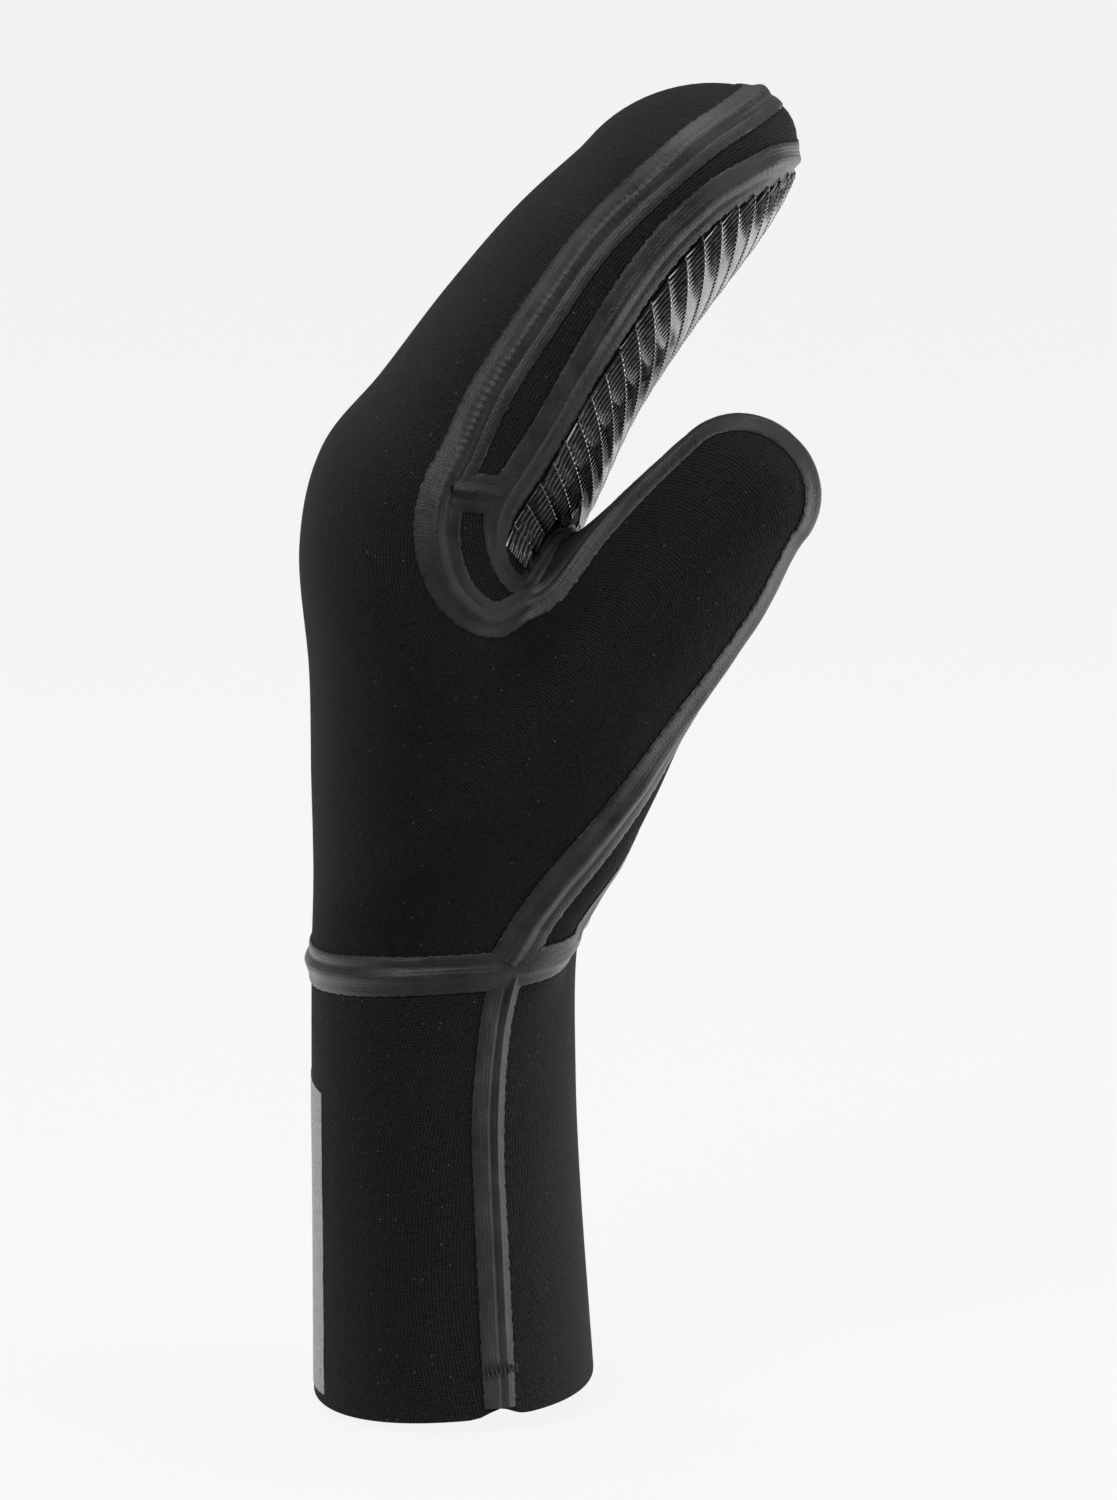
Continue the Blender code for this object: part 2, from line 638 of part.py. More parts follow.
def main():
    for obj in list(bpy.data.objects):
        bpy.data.objects.remove(obj, do_unlink=True)
    collection = bpy.data.collections.new("wetsuit_mitten")
    bpy.context.scene.collection.children.link(collection)
    form = Form()
    little = {"little_side": levels(LITTLE_LEVELS)}
    back = lay_seam(form, BACK_SEAM, STRETCH_CELLS, little)
    palm = lay_seam(form, PALM_SEAM, STRETCH_CELLS, little)
    ring = lay_seam(form, WRIST_RING, RING_CELLS)
    cross = lay_seam(form, CROSS_SEAM, CROSS_CELLS)["gusset"]
    seam = lay_seam(form, CUFF_SEAM, CUFF_CELLS)["cuff"]
    add_hand_panels(collection, form, back, palm, ring, cross)
    add_cuff(collection, form, ring, seam)
    add_tapes(collection, form, back, palm, ring, cross, seam)
    add_tack(collection, form, seam)


main()
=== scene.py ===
import bpy
import numpy as np
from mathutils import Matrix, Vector


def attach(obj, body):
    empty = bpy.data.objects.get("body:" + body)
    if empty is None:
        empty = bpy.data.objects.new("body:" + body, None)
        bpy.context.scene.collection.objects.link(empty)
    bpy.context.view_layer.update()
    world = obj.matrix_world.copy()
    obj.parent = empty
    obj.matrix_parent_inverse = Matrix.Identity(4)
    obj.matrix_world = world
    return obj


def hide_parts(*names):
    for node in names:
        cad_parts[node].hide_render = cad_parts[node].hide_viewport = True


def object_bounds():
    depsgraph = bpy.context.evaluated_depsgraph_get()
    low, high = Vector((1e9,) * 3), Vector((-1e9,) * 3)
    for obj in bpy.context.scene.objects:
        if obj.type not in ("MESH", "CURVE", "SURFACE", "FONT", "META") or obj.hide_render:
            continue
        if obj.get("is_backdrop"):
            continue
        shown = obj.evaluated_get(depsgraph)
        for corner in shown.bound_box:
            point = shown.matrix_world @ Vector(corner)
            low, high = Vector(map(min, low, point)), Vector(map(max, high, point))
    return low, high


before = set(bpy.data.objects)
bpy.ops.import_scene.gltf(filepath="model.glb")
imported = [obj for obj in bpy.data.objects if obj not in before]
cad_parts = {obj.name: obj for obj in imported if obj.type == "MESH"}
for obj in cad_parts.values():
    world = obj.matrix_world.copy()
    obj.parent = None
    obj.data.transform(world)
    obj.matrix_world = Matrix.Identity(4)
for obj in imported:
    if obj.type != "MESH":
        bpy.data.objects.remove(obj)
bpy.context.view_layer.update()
print("frame loaded")

# Overall sizes in metres. The form is a hand loft and a thumb loft run together, as in the CAD model.
sizes = {
    "cuffHeight": 0.0943,
    "handHeight": 0.1950,
    "fingerReach": 0.0661,
    "handThickness": 0.0636,
    "handBreadth": 0.0990,
    "cuffThickness": 0.0620,
    "cuffBreadth": 0.0840,
    "thumbRise": 0.1230,
    "thumbReach": 0.0794,
    "thumbWidth": 0.0510,
    "thumbDepth": 0.0380,
    "webBlend": 0.0070,
    "seamGap": 0.0003,
}

# rise, lean, tilt in degrees, thickness, breadth; as shares of the cuff's and the hand's own sizes
cuffSections = (
    (-0.009, 0.002, -3.5, 1.003, 1.002),
    (0.416, -0.020, -3.0, 0.958, 0.940),
    (0.699, -0.030, -3.0, 0.943, 0.917),
    (1.000, -0.027, -2.0, 0.945, 0.917),
)
handSections = (
    (0.093, 0.009, 0.0, 0.981, 0.848),
    (0.196, 0.012, 2.0, 1.000, 0.939),
    (0.310, -0.008, 6.0, 0.975, 0.990),
    (0.429, -0.054, 13.0, 0.962, 1.000),
    (0.521, -0.014, 20.0, 0.925, 0.990),
    (0.593, 0.124, 27.0, 0.840, 0.970),
    (0.683, 0.290, 33.0, 0.767, 0.939),
    (0.772, 0.488, 36.5, 0.717, 0.899),
    (0.8468, 0.688, 38.0, 0.656, 0.828),
)
# rise, lean, tilt, width, depth, offset to the thumb side
thumbSections = (
    (0.111, 0.113, 12.0, 0.725, 0.632, 0.525),
    (0.276, 0.189, 24.0, 0.941, 0.895, 0.566),
    (0.439, 0.298, 34.0, 1.000, 1.000, 0.606),
    (0.565, 0.422, 42.0, 0.925, 0.947, 0.636),
    (0.662, 0.544, 46.0, 0.849, 0.868, 0.667),
    (0.763, 0.675, 46.0, 0.761, 0.800, 0.667),
    (0.866, 0.795, 44.0, 0.637, 0.710, 0.667),
)


# Seam points are a station and an angle on the hand's loft or the thumb's. Stations count the sections
# from 0 and run on past the last one over the tip. The angle is 0 at the back, 90 on the thumb side and
# 180 at the palm.
def onHand(*places):
    return [("hand", *place) for place in places]


def onThumb(*places):
    return [("thumb", *place) for place in places]


backSeam = {
    "little": onHand((3.05, -82), (4.5, -84), (6.5, -86), (8.5, -84), (10.2, -78), (11.5, -75),
        (12.25, -77)),
    "tip": onHand((12.55, -77), (12.80, -76), (12.95, -65), (12.99, 0), (12.95, 65), (12.80, 76)),
    "fore": onHand((12.55, 77), (12.25, 77), (11.8, 74), (11.2, 75), (10.5, 78), (9.6, 80),
        (8.9, 84)),
    "crotch": onHand((8.36, 87), (7.85, 90), (7.40, 94), (7.10, 101), (6.98, 113), (7.16, 126)),
    "thumbTop": onThumb((3.25, 35), (3.74, 30), (4.30, 22), (5.00, 15)),
    "thumbTip": onThumb((6.00, 12), (6.50, 14), (6.85, 24), (6.975, 90), (6.85, 156), (6.50, 166)),
    "thumbHeel": onThumb((6.00, 168), (5.00, 167), (4.00, 163), (3.00, 156), (2.20, 147),
        (1.33, 136), (0.60, 126)) + onHand((3.11, 115)),
}
palmSeam = {
    "little": onHand((3.14, -110), (4.5, -108), (6.5, -106), (8.5, -106), (10.2, -105),
        (11.5, -102), (12.2, -105)),
    "tip": onHand((12.50, -112), (12.70, -128), (12.77, -155), (12.77, 180), (12.77, 155),
        (12.70, 128)),
    "fore": onHand((12.50, 112), (12.28, 104), (11.85, 100), (11.2, 102), (10.5, 105), (9.5, 107)),
    "crotch": onHand((8.57, 106), (8.14, 109), (7.76, 113)),
    "thumbTop": onHand((7.50, 119), (7.38, 127)),
    "thumbTip": onHand((7.38, 136), (7.42, 147), (7.32, 158)),
    "thumbHeel": onHand((7.05, 165), (6.40, 167)) + onThumb((1.85, 208), (1.10, 190), (0.45, 182))
        + onHand((3.32, 145)),
}
wristRing = {
    "back": onHand((3.11, 115), (3.06, 90), (3.03, 60), (3.00, 30), (3.00, 0), (3.00, -30),
        (3.03, -60)),
    "little": onHand((3.05, -82), (3.09, -96)),
    "palm": onHand((3.14, -110), (3.28, -135), (3.38, -160), (3.40, 180), (3.38, 160)),
    "thumbSide": onHand((3.32, 145), (3.20, 130), (3.11, 115)),
}
crossSeam = {"gusset": onHand((8.36, 87), (8.50, 97), (8.57, 106))}
cuffSeam = {
    "cuff": onHand((3.11, 115), (2.88, 113), (2.34, 109), (1.77, 107), (1.0, 107), (0.0, 107)),
}

# Coarse cells of each stretch, refined by one factor once a panel is laid. The reaches are how far up
# the little finger's side, the back's middle and the palm's middle the stretches across from them end.
stretchCells = {
    "little": 40, "tip": 14, "fore": 12, "crotch": 8, "thumbTop": 4, "thumbTip": 8, "thumbHeel": 8,
}
ringCells = {"back": 14, "little": 2, "palm": 14, "thumbSide": 8}
littleReach = {"thumbHeel": 0.20, "thumbTip": 0.34, "thumbTop": 0.40, "crotch": 0.55, "fore": 1.0}
backReach = {"thumbHeel": 0.06, "thumbTip": 0.12, "thumbTop": 0.18, "crotch": 0.45, "fore": 1.0}
palmReach = {"thumbHeel": 0.36, "thumbTip": 0.60, "thumbTop": 0.65, "crotch": 0.71, "fore": 1.0}
laying = {"refine": 4, "rounds": 10, "beside": 0.008, "crowding": 0.5, "ease": 6, "bow": 0.30}
tableSteps = 16
curveSteps = 8
probe = 0.00005


# A Catmull-Rom curve through the points on the second-last axis
def smoothLine(points, steps=curveSteps):
    first = 2 * points[..., :1, :] - points[..., 1:2, :]
    last = 2 * points[..., -1:, :] - points[..., -2:-1, :]
    padded = np.concatenate([first, points, last], axis=-2)
    spans = points.shape[-2] - 1
    place = np.linspace(0, spans, spans * steps + 1)
    span = np.clip(place.astype(int), 0, spans - 1)
    t = (place - span)[:, None]
    p0, p1, p2, p3 = (padded[..., span + ahead, :] for ahead in range(4))
    bend = (2 * p0 - 5 * p1 + 4 * p2 - p3) * t**2 + (3 * p1 - p0 - 3 * p2 + p3) * t**3
    return 0.5 * (2 * p1 + (p2 - p0) * t + bend)


# The same curve run down the columns and along the rows of a grid
def finerGrid(grid, along, across):
    grid = smoothLine(grid, across) if across > 1 else grid
    turned = grid.swapaxes(0, 1)
    turned = smoothLine(turned, along) if along > 1 else turned
    return turned.swapaxes(0, 1)


# Length run along a line up to each of its points
def lengthsOf(line):
    steps = np.linalg.norm(np.diff(line, axis=0), axis=1)
    return np.concatenate([[0], np.cumsum(steps)])


# Points at the given shares of a line's length
def spread(line, shares):
    length = lengthsOf(line)
    return np.stack([np.interp(shares, length / length[-1], column) for column in line.T], axis=1)


# Lines end to end, without the point that two of them share
def joined(parts):
    return np.concatenate([parts[0]] + [part[1:] for part in parts[1:]])


def unit(vectors):
    return vectors / np.linalg.norm(vectors, axis=-1, keepdims=True)


# Slow waves between -1 and 1: three sines whose lengths share no common measure
def waves(along, across=0.0, seed=0.0):
    first = np.sin(along + 1.3 * seed)
    second = np.sin(0.613 * along + 1.7 * across + seed)
    third = np.sin(1.57 * along - 2.1 * across + 2.9 * seed)
    return (first + second + third) / 3


# Sections between the given ones lie on a smooth curve through all of their numbers
def makeLoft(rows, power, tipLength, skew=0.0, rootLength=None):
    return {
        "table": smoothLine(rows, tableSteps),
        "last": len(rows) - 1,
        "power": power,
        "tip": tipLength,
        "skew": skew,
        "root": rootLength,
    }


# A table of sections in metres: x, z, tilt, half thickness, half breadth and y
def loftRows(sections, foot, height, reach, thickness, breadth):
    rise, lean, tilt, thick, broad, *aside = np.array(sections).T
    side = -aside[0] * sizes["handBreadth"] / 2 if aside else 0 * rise
    return np.stack([lean * sizes[reach], foot + rise * sizes[height], np.radians(tilt),
                     thick * sizes[thickness] / 2, broad * sizes[breadth] / 2, side], axis=1)


wrist = sizes["cuffHeight"]
handRows = np.concatenate([
    loftRows(cuffSections, 0, "cuffHeight", "fingerReach", "cuffThickness", "cuffBreadth"),
    loftRows(handSections, wrist, "handHeight", "fingerReach", "handThickness", "handBreadth"),
])
thumbRows = loftRows(thumbSections, wrist, "thumbRise", "thumbReach", "thumbWidth", "thumbDepth")
lofts = {
    "hand": makeLoft(handRows, 2.3, 0.0334, skew=0.0066),
    "thumb": makeLoft(thumbRows, 2.2, 0.0152, rootLength=0.02),
}


# x, z, tilt, half thickness, half breadth and y of a loft's section at a station
def sectionAt(loft, station):
    table = loft["table"]
    place = np.clip(np.asarray(station, float) * tableSteps, 0, len(table) - 1.001)
    low = place.astype(int)
    part = (place - low)[..., None]
    return np.moveaxis(table[low] * (1 - part) + table[low + 1] * part, -1, 0)


# Superellipse point: half * cos^(2/p) across the section and deep * sin^(2/p) along y; past the last
# section the ring shrinks as a circle over the tip
def loftPoint(loft, station, angle):
    x, z, tilt, half, deep, side = sectionAt(loft, station)
    past = np.clip(station - loft["last"], 0, 1)
    ring = np.sqrt(1 - past**2)
    cosine, sine = np.cos(np.radians(angle)), np.sin(np.radians(angle))
    across = -half * ring * np.sign(cosine) * np.abs(cosine) ** (2 / loft["power"])
    across = across + loft["skew"] * past**2
    y = side - deep * ring * np.sign(sine) * np.abs(sine) ** (2 / loft["power"])
    along = past * loft["tip"]
    return np.stack([
        x + across * np.cos(tilt) + along * np.sin(tilt),
        y,
        z - across * np.sin(tilt) + along * np.cos(tilt),
    ], axis=-1)


# The station whose section plane holds each point, by halving
def stationOf(loft, points):
    low = np.zeros(len(points))
    high = np.full(len(points), float(loft["last"]))
    for _ in range(14):
        middle = (low + high) / 2
        x, z, tilt = sectionAt(loft, middle)[:3]
        above = (points[:, 0] - x) * np.sin(tilt) + (points[:, 2] - z) * np.cos(tilt) > 0
        low = np.where(above, middle, low)
        high = np.where(above, high, middle)
    return (low + high) / 2


# About how far points lie outside a loft
def loftDistance(loft, points):
    station = stationOf(loft, points)
    x, z, tilt, half, deep, side = sectionAt(loft, station)
    dx, dz = points[:, 0] - x, points[:, 2] - z
    along = dx * np.sin(tilt) + dz * np.cos(tilt)
    past = np.where(station > loft["last"] - 0.01, np.maximum(along, 0), 0) / loft["tip"]
    if loft["root"]:
        past = past + np.where(station < 0.01, np.maximum(-along, 0), 0) / loft["root"]
    across = dx * np.cos(tilt) - dz * np.sin(tilt) - loft["skew"] * past**2
    y = points[:, 1] - side
    ring = np.abs(across / half) ** loft["power"] + np.abs(y / deep) ** loft["power"]
    size = np.sqrt(ring ** (2 / loft["power"]) + past**2)
    reach = np.sqrt(across**2 + y**2 + (past * loft["tip"]) ** 2)
    return reach * (1 - 1 / np.maximum(size, probe))


# The two distances run together over the web of the thumb
def formDistance(points):
    hand = loftDistance(lofts["hand"], points)
    thumb = loftDistance(lofts["thumb"], points)
    blend = sizes["webBlend"]
    share = np.clip(0.5 + 0.5 * (thumb - hand) / blend, 0, 1)
    return thumb * (1 - share) + hand * share - blend * share * (1 - share)


# The distance's slope, by central differences along x, y and z
def formSlope(points):
    return np.stack([
        (formDistance(points + probe * axis) - formDistance(points - probe * axis)) / (2 * probe)
        for axis in np.eye(3)
    ], axis=1)


def formNormals(grid):
    return unit(formSlope(grid.reshape(-1, 3))).reshape(grid.shape)


# Newton steps down the slope of the distance, onto the surface
def layOn(grid, rounds=6):
    flat = grid.reshape(-1, 3).copy()
    for _ in range(rounds):
        slope = formSlope(flat)
        flat -= formDistance(flat)[:, None] * slope / (slope**2).sum(axis=1, keepdims=True)
    return flat.reshape(grid.shape)


# How far up a panel each cell of its side lies, with the stretches' own counts of cells
def levels(reach, refine=1):
    bounds = [0.0, *reach.values()]
    return joined([
        np.linspace(low, high, stretchCells[name] * refine + 1)
        for name, low, high in zip(reach, bounds[:-1], bounds[1:])
    ])


# Each stretch of a seam as points on the form; neighbours share their end point
def laySeam(stretches, cells, shares=None):
    refine = laying["refine"]
    starts = np.cumsum([0] + [len(places) for places in stretches.values()])
    starts[-1] -= 1
    controls = layOn(np.array([
        loftPoint(lofts[body], np.float64(station), angle)
        for places in stretches.values() for body, station, angle in places
    ]))
    line = layOn(smoothLine(controls))
    laid = {}
    for name, first, last in zip(stretches, starts[:-1], starts[1:]):
        places = (shares or {}).get(name, np.linspace(0, 1, cells[name] * refine + 1))
        laid[name] = layOn(spread(line[first * curveSteps:last * curveSteps + 1], places))
    return laid


# Unit steps off a line, square to it along the surface, to the side where another line lies
def inward(line, towards):
    step = unit(np.cross(formNormals(line), np.gradient(line, axis=0)))
    return step * np.sign((step * (towards - line)).sum())


# A line up the hand at one angle
def handLine(first, last, angle, shares):
    stations = np.linspace(first, last, 4 * len(shares))
    return layOn(spread(loftPoint(lofts["hand"], stations, angle + 0 * stations), shares))


# Winslow smoothing: each direction's bend is weighed by the spacing in the other one
def settled(grid):
    down = (grid[2:, 1:-1] - grid[:-2, 1:-1]) / 2
    over = (grid[1:-1, 2:] - grid[1:-1, :-2]) / 2
    downWeight = (over**2).sum(axis=2, keepdims=True)
    overWeight = (down**2).sum(axis=2, keepdims=True)
    shear = (down * over).sum(axis=2, keepdims=True) / 2
    twist = grid[2:, 2:] - grid[2:, :-2] - grid[:-2, 2:] + grid[:-2, :-2]
    pull = downWeight * (grid[2:, 1:-1] + grid[:-2, 1:-1])
    pull = pull + overWeight * (grid[1:-1, 2:] + grid[1:-1, :-2]) - shear * twist
    return pull / (2 * (downWeight + overWeight))


# A grid on the form inside four seams, with rungs from left to right: laid and settled on every
# fourth point of the seams, then refined between them and laid on the form again
def sheetGrid(left, right, bottom, top, lines=()):
    refine = laying["refine"]
    rim = [line[::refine] for line in (left, right, bottom, top)]
    rungs = smoothLine(np.stack([rim[0], *lines, rim[1]], axis=1))
    up = np.linspace(0, 1, len(rim[0]))[:, None]
    nearBottom, nearTop = (1 - up) ** laying["ease"], up ** laying["ease"]
    lengths = [lengthsOf(line) for line in rim[2:]]
    across = (1 - up) * lengths[0] / lengths[0][-1] + up * lengths[1] / lengths[1][-1]
    crowding = laying["crowding"] * (1 - nearBottom - nearTop)
    across = across - crowding * np.sin(2 * np.pi * across) / (2 * np.pi)
    grid = np.stack([spread(rung, shares) for rung, shares in zip(rungs, across)])
    grid += nearBottom[..., None] * (rim[2] - grid[0]) + nearTop[..., None] * (rim[3] - grid[-1])
    grid = layOn(grid)
    grid[0], grid[-1], grid[:, 0], grid[:, -1] = rim[2], rim[3], rim[0], rim[1]
    for _ in range(laying["rounds"]):
        grid[1:-1, 1:-1] = layOn(settled(grid), rounds=1)
    grid = layOn(finerGrid(grid, refine, refine), rounds=2)
    grid[0], grid[-1], grid[:, 0], grid[:, -1] = bottom, top, left, right
    grid[1:-1, 1:-1] = layOn(settled(grid), rounds=1)
    return grid


# Rim drawn in along the surface by half the seam's gap
def pulledIn(grid):
    moved = grid.copy()
    for edge, inner in ((0, 2), (-1, -3)):
        moved[edge] += inward(grid[edge], grid[inner]) * sizes["seamGap"] / 2
        moved[:, edge] += inward(grid[:, edge], grid[:, inner]) * sizes["seamGap"] / 2
    return moved


# Cloth coordinates in metres: the length run so far along each row and up each column
def clothUv(grid):
    across = np.linalg.norm(np.diff(grid, axis=1), axis=2)
    along = np.linalg.norm(np.diff(grid, axis=0), axis=2)
    uv = np.zeros(grid.shape[:2] + (2,))
    uv[:, 1:, 0] = np.cumsum(across, axis=1)
    uv[1:, :, 1] = np.cumsum(along, axis=0)
    uv[..., 0] -= uv[:, uv.shape[1] // 2, 0][:, None]
    return uv


# Four corners for each cell of a grid
def gridFaces(rows, cols, start=0):
    corner = start + np.arange(rows - 1)[:, None] * cols + np.arange(cols - 1)[None, :]
    return np.stack([corner, corner + 1, corner + cols + 1, corner + cols], axis=-1).reshape(-1, 4)


# Six times the volume inside the faces, which is negative where they point inwards
def turnedVolume(points, faces):
    a, b, c, d = (points[faces[:, k]] for k in range(4))
    return (np.cross(a, b) * c).sum() + (np.cross(a, c) * d).sum()


# A mesh object with its faces turned outwards and its sharp edges marked
def makePiece(name, points, faces, caps=(), uv=None, faceSlots=None, materials=(), sharp=50):
    points, faces = np.asarray(points, float), np.asarray(faces)
    caps = [list(map(int, cap)) for cap in caps]
    if turnedVolume(points, faces) < 0:
        faces = faces[:, ::-1]
        caps = [cap[::-1] for cap in caps]
    mesh = bpy.data.meshes.new(name)
    mesh.from_pydata(points.tolist(), [], faces.tolist() + caps)
    if uv is not None:
        corners = np.empty(len(mesh.loops), np.int32)
        mesh.loops.foreach_get("vertex_index", corners)
        layer = mesh.uv_layers.new(name="cloth")
        layer.data.foreach_set("uv", np.asarray(uv, np.float32)[corners].ravel())
    if faceSlots is not None:
        mesh.polygons.foreach_set("material_index", faceSlots)
    for made in materials:
        mesh.materials.append(made)
    mesh.shade_smooth()
    mesh.set_sharp_from_angle(angle=np.radians(sharp))
    mesh.update()
    piece = bpy.data.objects.new(name, mesh)
    bpy.context.scene.collection.objects.link(piece)
    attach(piece, "root")
    return piece


# A wall between an outer and an inner grid. Its rim has a band of knit, one of foam and one of lining,
# at the shares of the wall that the three layers take.
def wallPiece(name, outer, inner, materials, layers=(0.12, 0.88)):
    rows, cols = outer.shape[:2]
    count = rows * cols
    index = np.arange(count).reshape(rows, cols)
    rim = np.concatenate([index[0, :-1], index[:-1, -1], index[-1, :0:-1], index[:0:-1, 0]])
    outerFlat, innerFlat = outer.reshape(-1, 3), inner.reshape(-1, 3)
    bands = [outerFlat[rim] * (1 - share) + innerFlat[rim] * share for share in layers]
    points = np.concatenate([outerFlat, innerFlat, *bands])
    between = 2 * count + np.arange(2 * len(rim)).reshape(2, -1)
    rings = [rim, *between, count + rim]
    faces = [gridFaces(rows, cols), gridFaces(rows, cols, count)[:, ::-1]]
    faceSlots = [np.zeros(len(faces[0]), int), np.full(len(faces[0]), 2)]
    for slot, (ring, below) in enumerate(zip(rings[:-1], rings[1:])):
        faces.append(np.stack([np.roll(ring, -1), ring, below, np.roll(below, -1)], axis=1))
        faceSlots.append(np.full(len(rim), slot))
    uv = clothUv(outer).reshape(-1, 2)
    uv = np.concatenate([uv, uv, uv[rim], uv[rim]])
    return makePiece(name, points, np.concatenate(faces), uv=uv,
                     faceSlots=np.concatenate(faceSlots), materials=materials)


# A profile carried along a path: rings of points, one per row, closed on itself or capped
def sweepParts(rings, closed=False, start=0):
    rows, corners = rings.shape[:2]
    index = start + np.arange(rows * corners).reshape(rows, corners)
    ahead = np.roll(index, -1, axis=0) if closed else index[1:]
    here = index if closed else index[:-1]
    faces = np.stack([here, np.roll(here, -1, axis=1), np.roll(ahead, -1, axis=1), ahead], axis=-1)
    caps = [] if closed else [index[0, ::-1], index[-1]]
    return faces.reshape(-1, 4), caps


print("form ready")


# A material with its nodes, its shader and the Object coordinates, which sit still on a piece
def newMaterial(name, finish):
    made = bpy.data.materials.new(name)
    made.use_nodes = True
    tree = made.node_tree
    shader = tree.nodes["Principled BSDF"]
    for socket, value in finish.items():
        shader.inputs[socket].default_value = value
    return made, tree, shader, tree.nodes.new("ShaderNodeTexCoord").outputs["Object"]


# A node whose inputs are set, or linked where the value is another node's socket
def node(tree, kind, inputs=None, **settings):
    made = tree.nodes.new(kind)
    for key, value in settings.items():
        setattr(made, key, value)
    for socket, value in (inputs or {}).items():
        if isinstance(value, bpy.types.NodeSocket):
            tree.links.new(value, made.inputs[socket])
        else:
            made.inputs[socket].default_value = value
    return made


# The helpers below work in the node tree that their first socket belongs to
def maths(operation, *values):
    inputs = dict(enumerate(values))
    return node(values[0].id_data, "ShaderNodeMath", inputs, operation=operation).outputs[0]


def times(first, second):
    return maths("MULTIPLY", first, second)


def scaled(value, factor, offset):
    return maths("MULTIPLY_ADD", value, factor, offset)


def noise(coords, scale, detail=2.0, roughness=0.5):
    inputs = {"Vector": coords, "Scale": scale, "Detail": detail, "Roughness": roughness}
    return node(coords.id_data, "ShaderNodeTexNoise", inputs).outputs[0]


# A value carried from one range to another in a straight line and held at both ends
def ranged(value, start, end, low=0.0, high=1.0):
    inputs = {0: value, 1: start, 2: end, 3: low, 4: high}
    return node(value.id_data, "ShaderNodeMapRange", inputs).outputs[0]


def blended(share, under, over):
    inputs = {0: share, 6: under, 7: (*over, 1.0)}
    return node(share.id_data, "ShaderNodeMix", inputs, data_type="RGBA").outputs[2]


def ramp(value, stops):
    made = node(value.id_data, "ShaderNodeValToRGB", {0: value})
    elements = made.color_ramp.elements
    while len(elements) < len(stops):
        elements.new(0.5)
    for element, (place, colour) in zip(elements, stops):
        element.position = place
        element.color = (*colour, 1.0)
    return made.outputs[0]


# The colour linked, and a height bumped up by a strength and a depth in metres
def finished(shader, colour, height, strength, depth):
    tree, inputs = shader.id_data, {"Height": height, "Strength": strength, "Distance": depth}
    bump = node(tree, "ShaderNodeBump", inputs)
    tree.links.new(bump.outputs[0], shader.inputs["Normal"])
    tree.links.new(colour, shader.inputs["Base Color"])


# The two coordinates of a piece's own map
def clothPlace(tree):
    uv = node(tree, "ShaderNodeUVMap", uv_map="cloth")
    return node(tree, "ShaderNodeSeparateXYZ", {0: uv.outputs[0]}).outputs[:2]


# Jersey knit: columns of V stitches. Height = |sin(pi u)| for the column, times a wave along it whose
# phase runs forward with the distance from the column's middle
def knitHeight(tree, wale, course):
    across, along = clothPlace(tree)
    u = maths("DIVIDE", across, wale)
    v = maths("DIVIDE", along, course)
    column = maths("ABSOLUTE", maths("SINE", times(u, np.pi)))
    aside = maths("ABSOLUTE", maths("SUBTRACT", maths("FRACT", u), 0.5))
    slanted = times(maths("ADD", v, aside), 2 * np.pi)
    stitch = scaled(maths("SINE", slanted), 0.35, 0.65)
    return times(column, stitch)


knitLook = {
    "wale": 0.00078, "course": 0.00062, "grain": 1700, "patch": 60, "relief": 0.00040,
    "dark": (0.0016, 0.0016, 0.0017), "light": (0.0235, 0.0226, 0.0228),
    "fleck": (0.085, 0.080, 0.078), "fleckScale": 520, "fleckSize": 0.10, "fleckShare": 0.28,
    "finish": {"Roughness": 0.88, "Specular IOR Level": 0.10, "Sheen Weight": 0.040,
               "Sheen Roughness": 0.45, "Sheen Tint": (0.50, 0.36, 0.30, 1.0)},
}
liningLook = {**knitLook, "wale": 0.0011, "course": 0.0009, "dark": (0.010, 0.010, 0.011),
              "light": (0.030, 0.030, 0.032)}


# Light where stitch * (0.6 + 0.8 grain) * (0.75 + 0.5 patch) is high, with more of the grain on top,
# and a pale fleck at the heart of some Voronoi cells
def knitMaterial(name, look):
    made, tree, shader, coords = newMaterial(name, look["finish"])
    height = knitHeight(tree, look["wale"], look["course"])
    grain = noise(coords, look["grain"])
    patch = noise(coords, look["patch"], 4)
    lit = times(height, scaled(grain, 0.8, 0.6))
    lit = times(lit, scaled(patch, 0.5, 0.75))
    lit = scaled(grain, 0.55, times(lit, 0.62))
    base = ramp(lit, [(0.20, look["dark"]), (0.80, look["light"])])
    fleckCells = node(tree, "ShaderNodeTexVoronoi", {"Vector": coords, "Scale": look["fleckScale"]})
    heart = maths("LESS_THAN", fleckCells.outputs["Distance"], look["fleckSize"])
    draw = node(tree, "ShaderNodeSeparateColor", {0: fleckCells.outputs["Color"]}).outputs[0]
    chosen = maths("GREATER_THAN", draw, 1 - look["fleckShare"])
    colour = blended(times(heart, chosen), base, look["fleck"])
    rough = scaled(grain, 1.5, times(height, 0.32))
    finished(shader, colour, rough, 1.0, look["relief"])
    return made


tapeLook = {
    "dark": (0.0100, 0.0101, 0.0118), "light": (0.0310, 0.0312, 0.0355), "cloud": 130, "grain": 1900,
    "roughness": (0.38, 0.62), "relief": 0.00022, "finish": {"Specular IOR Level": 0.36},
}


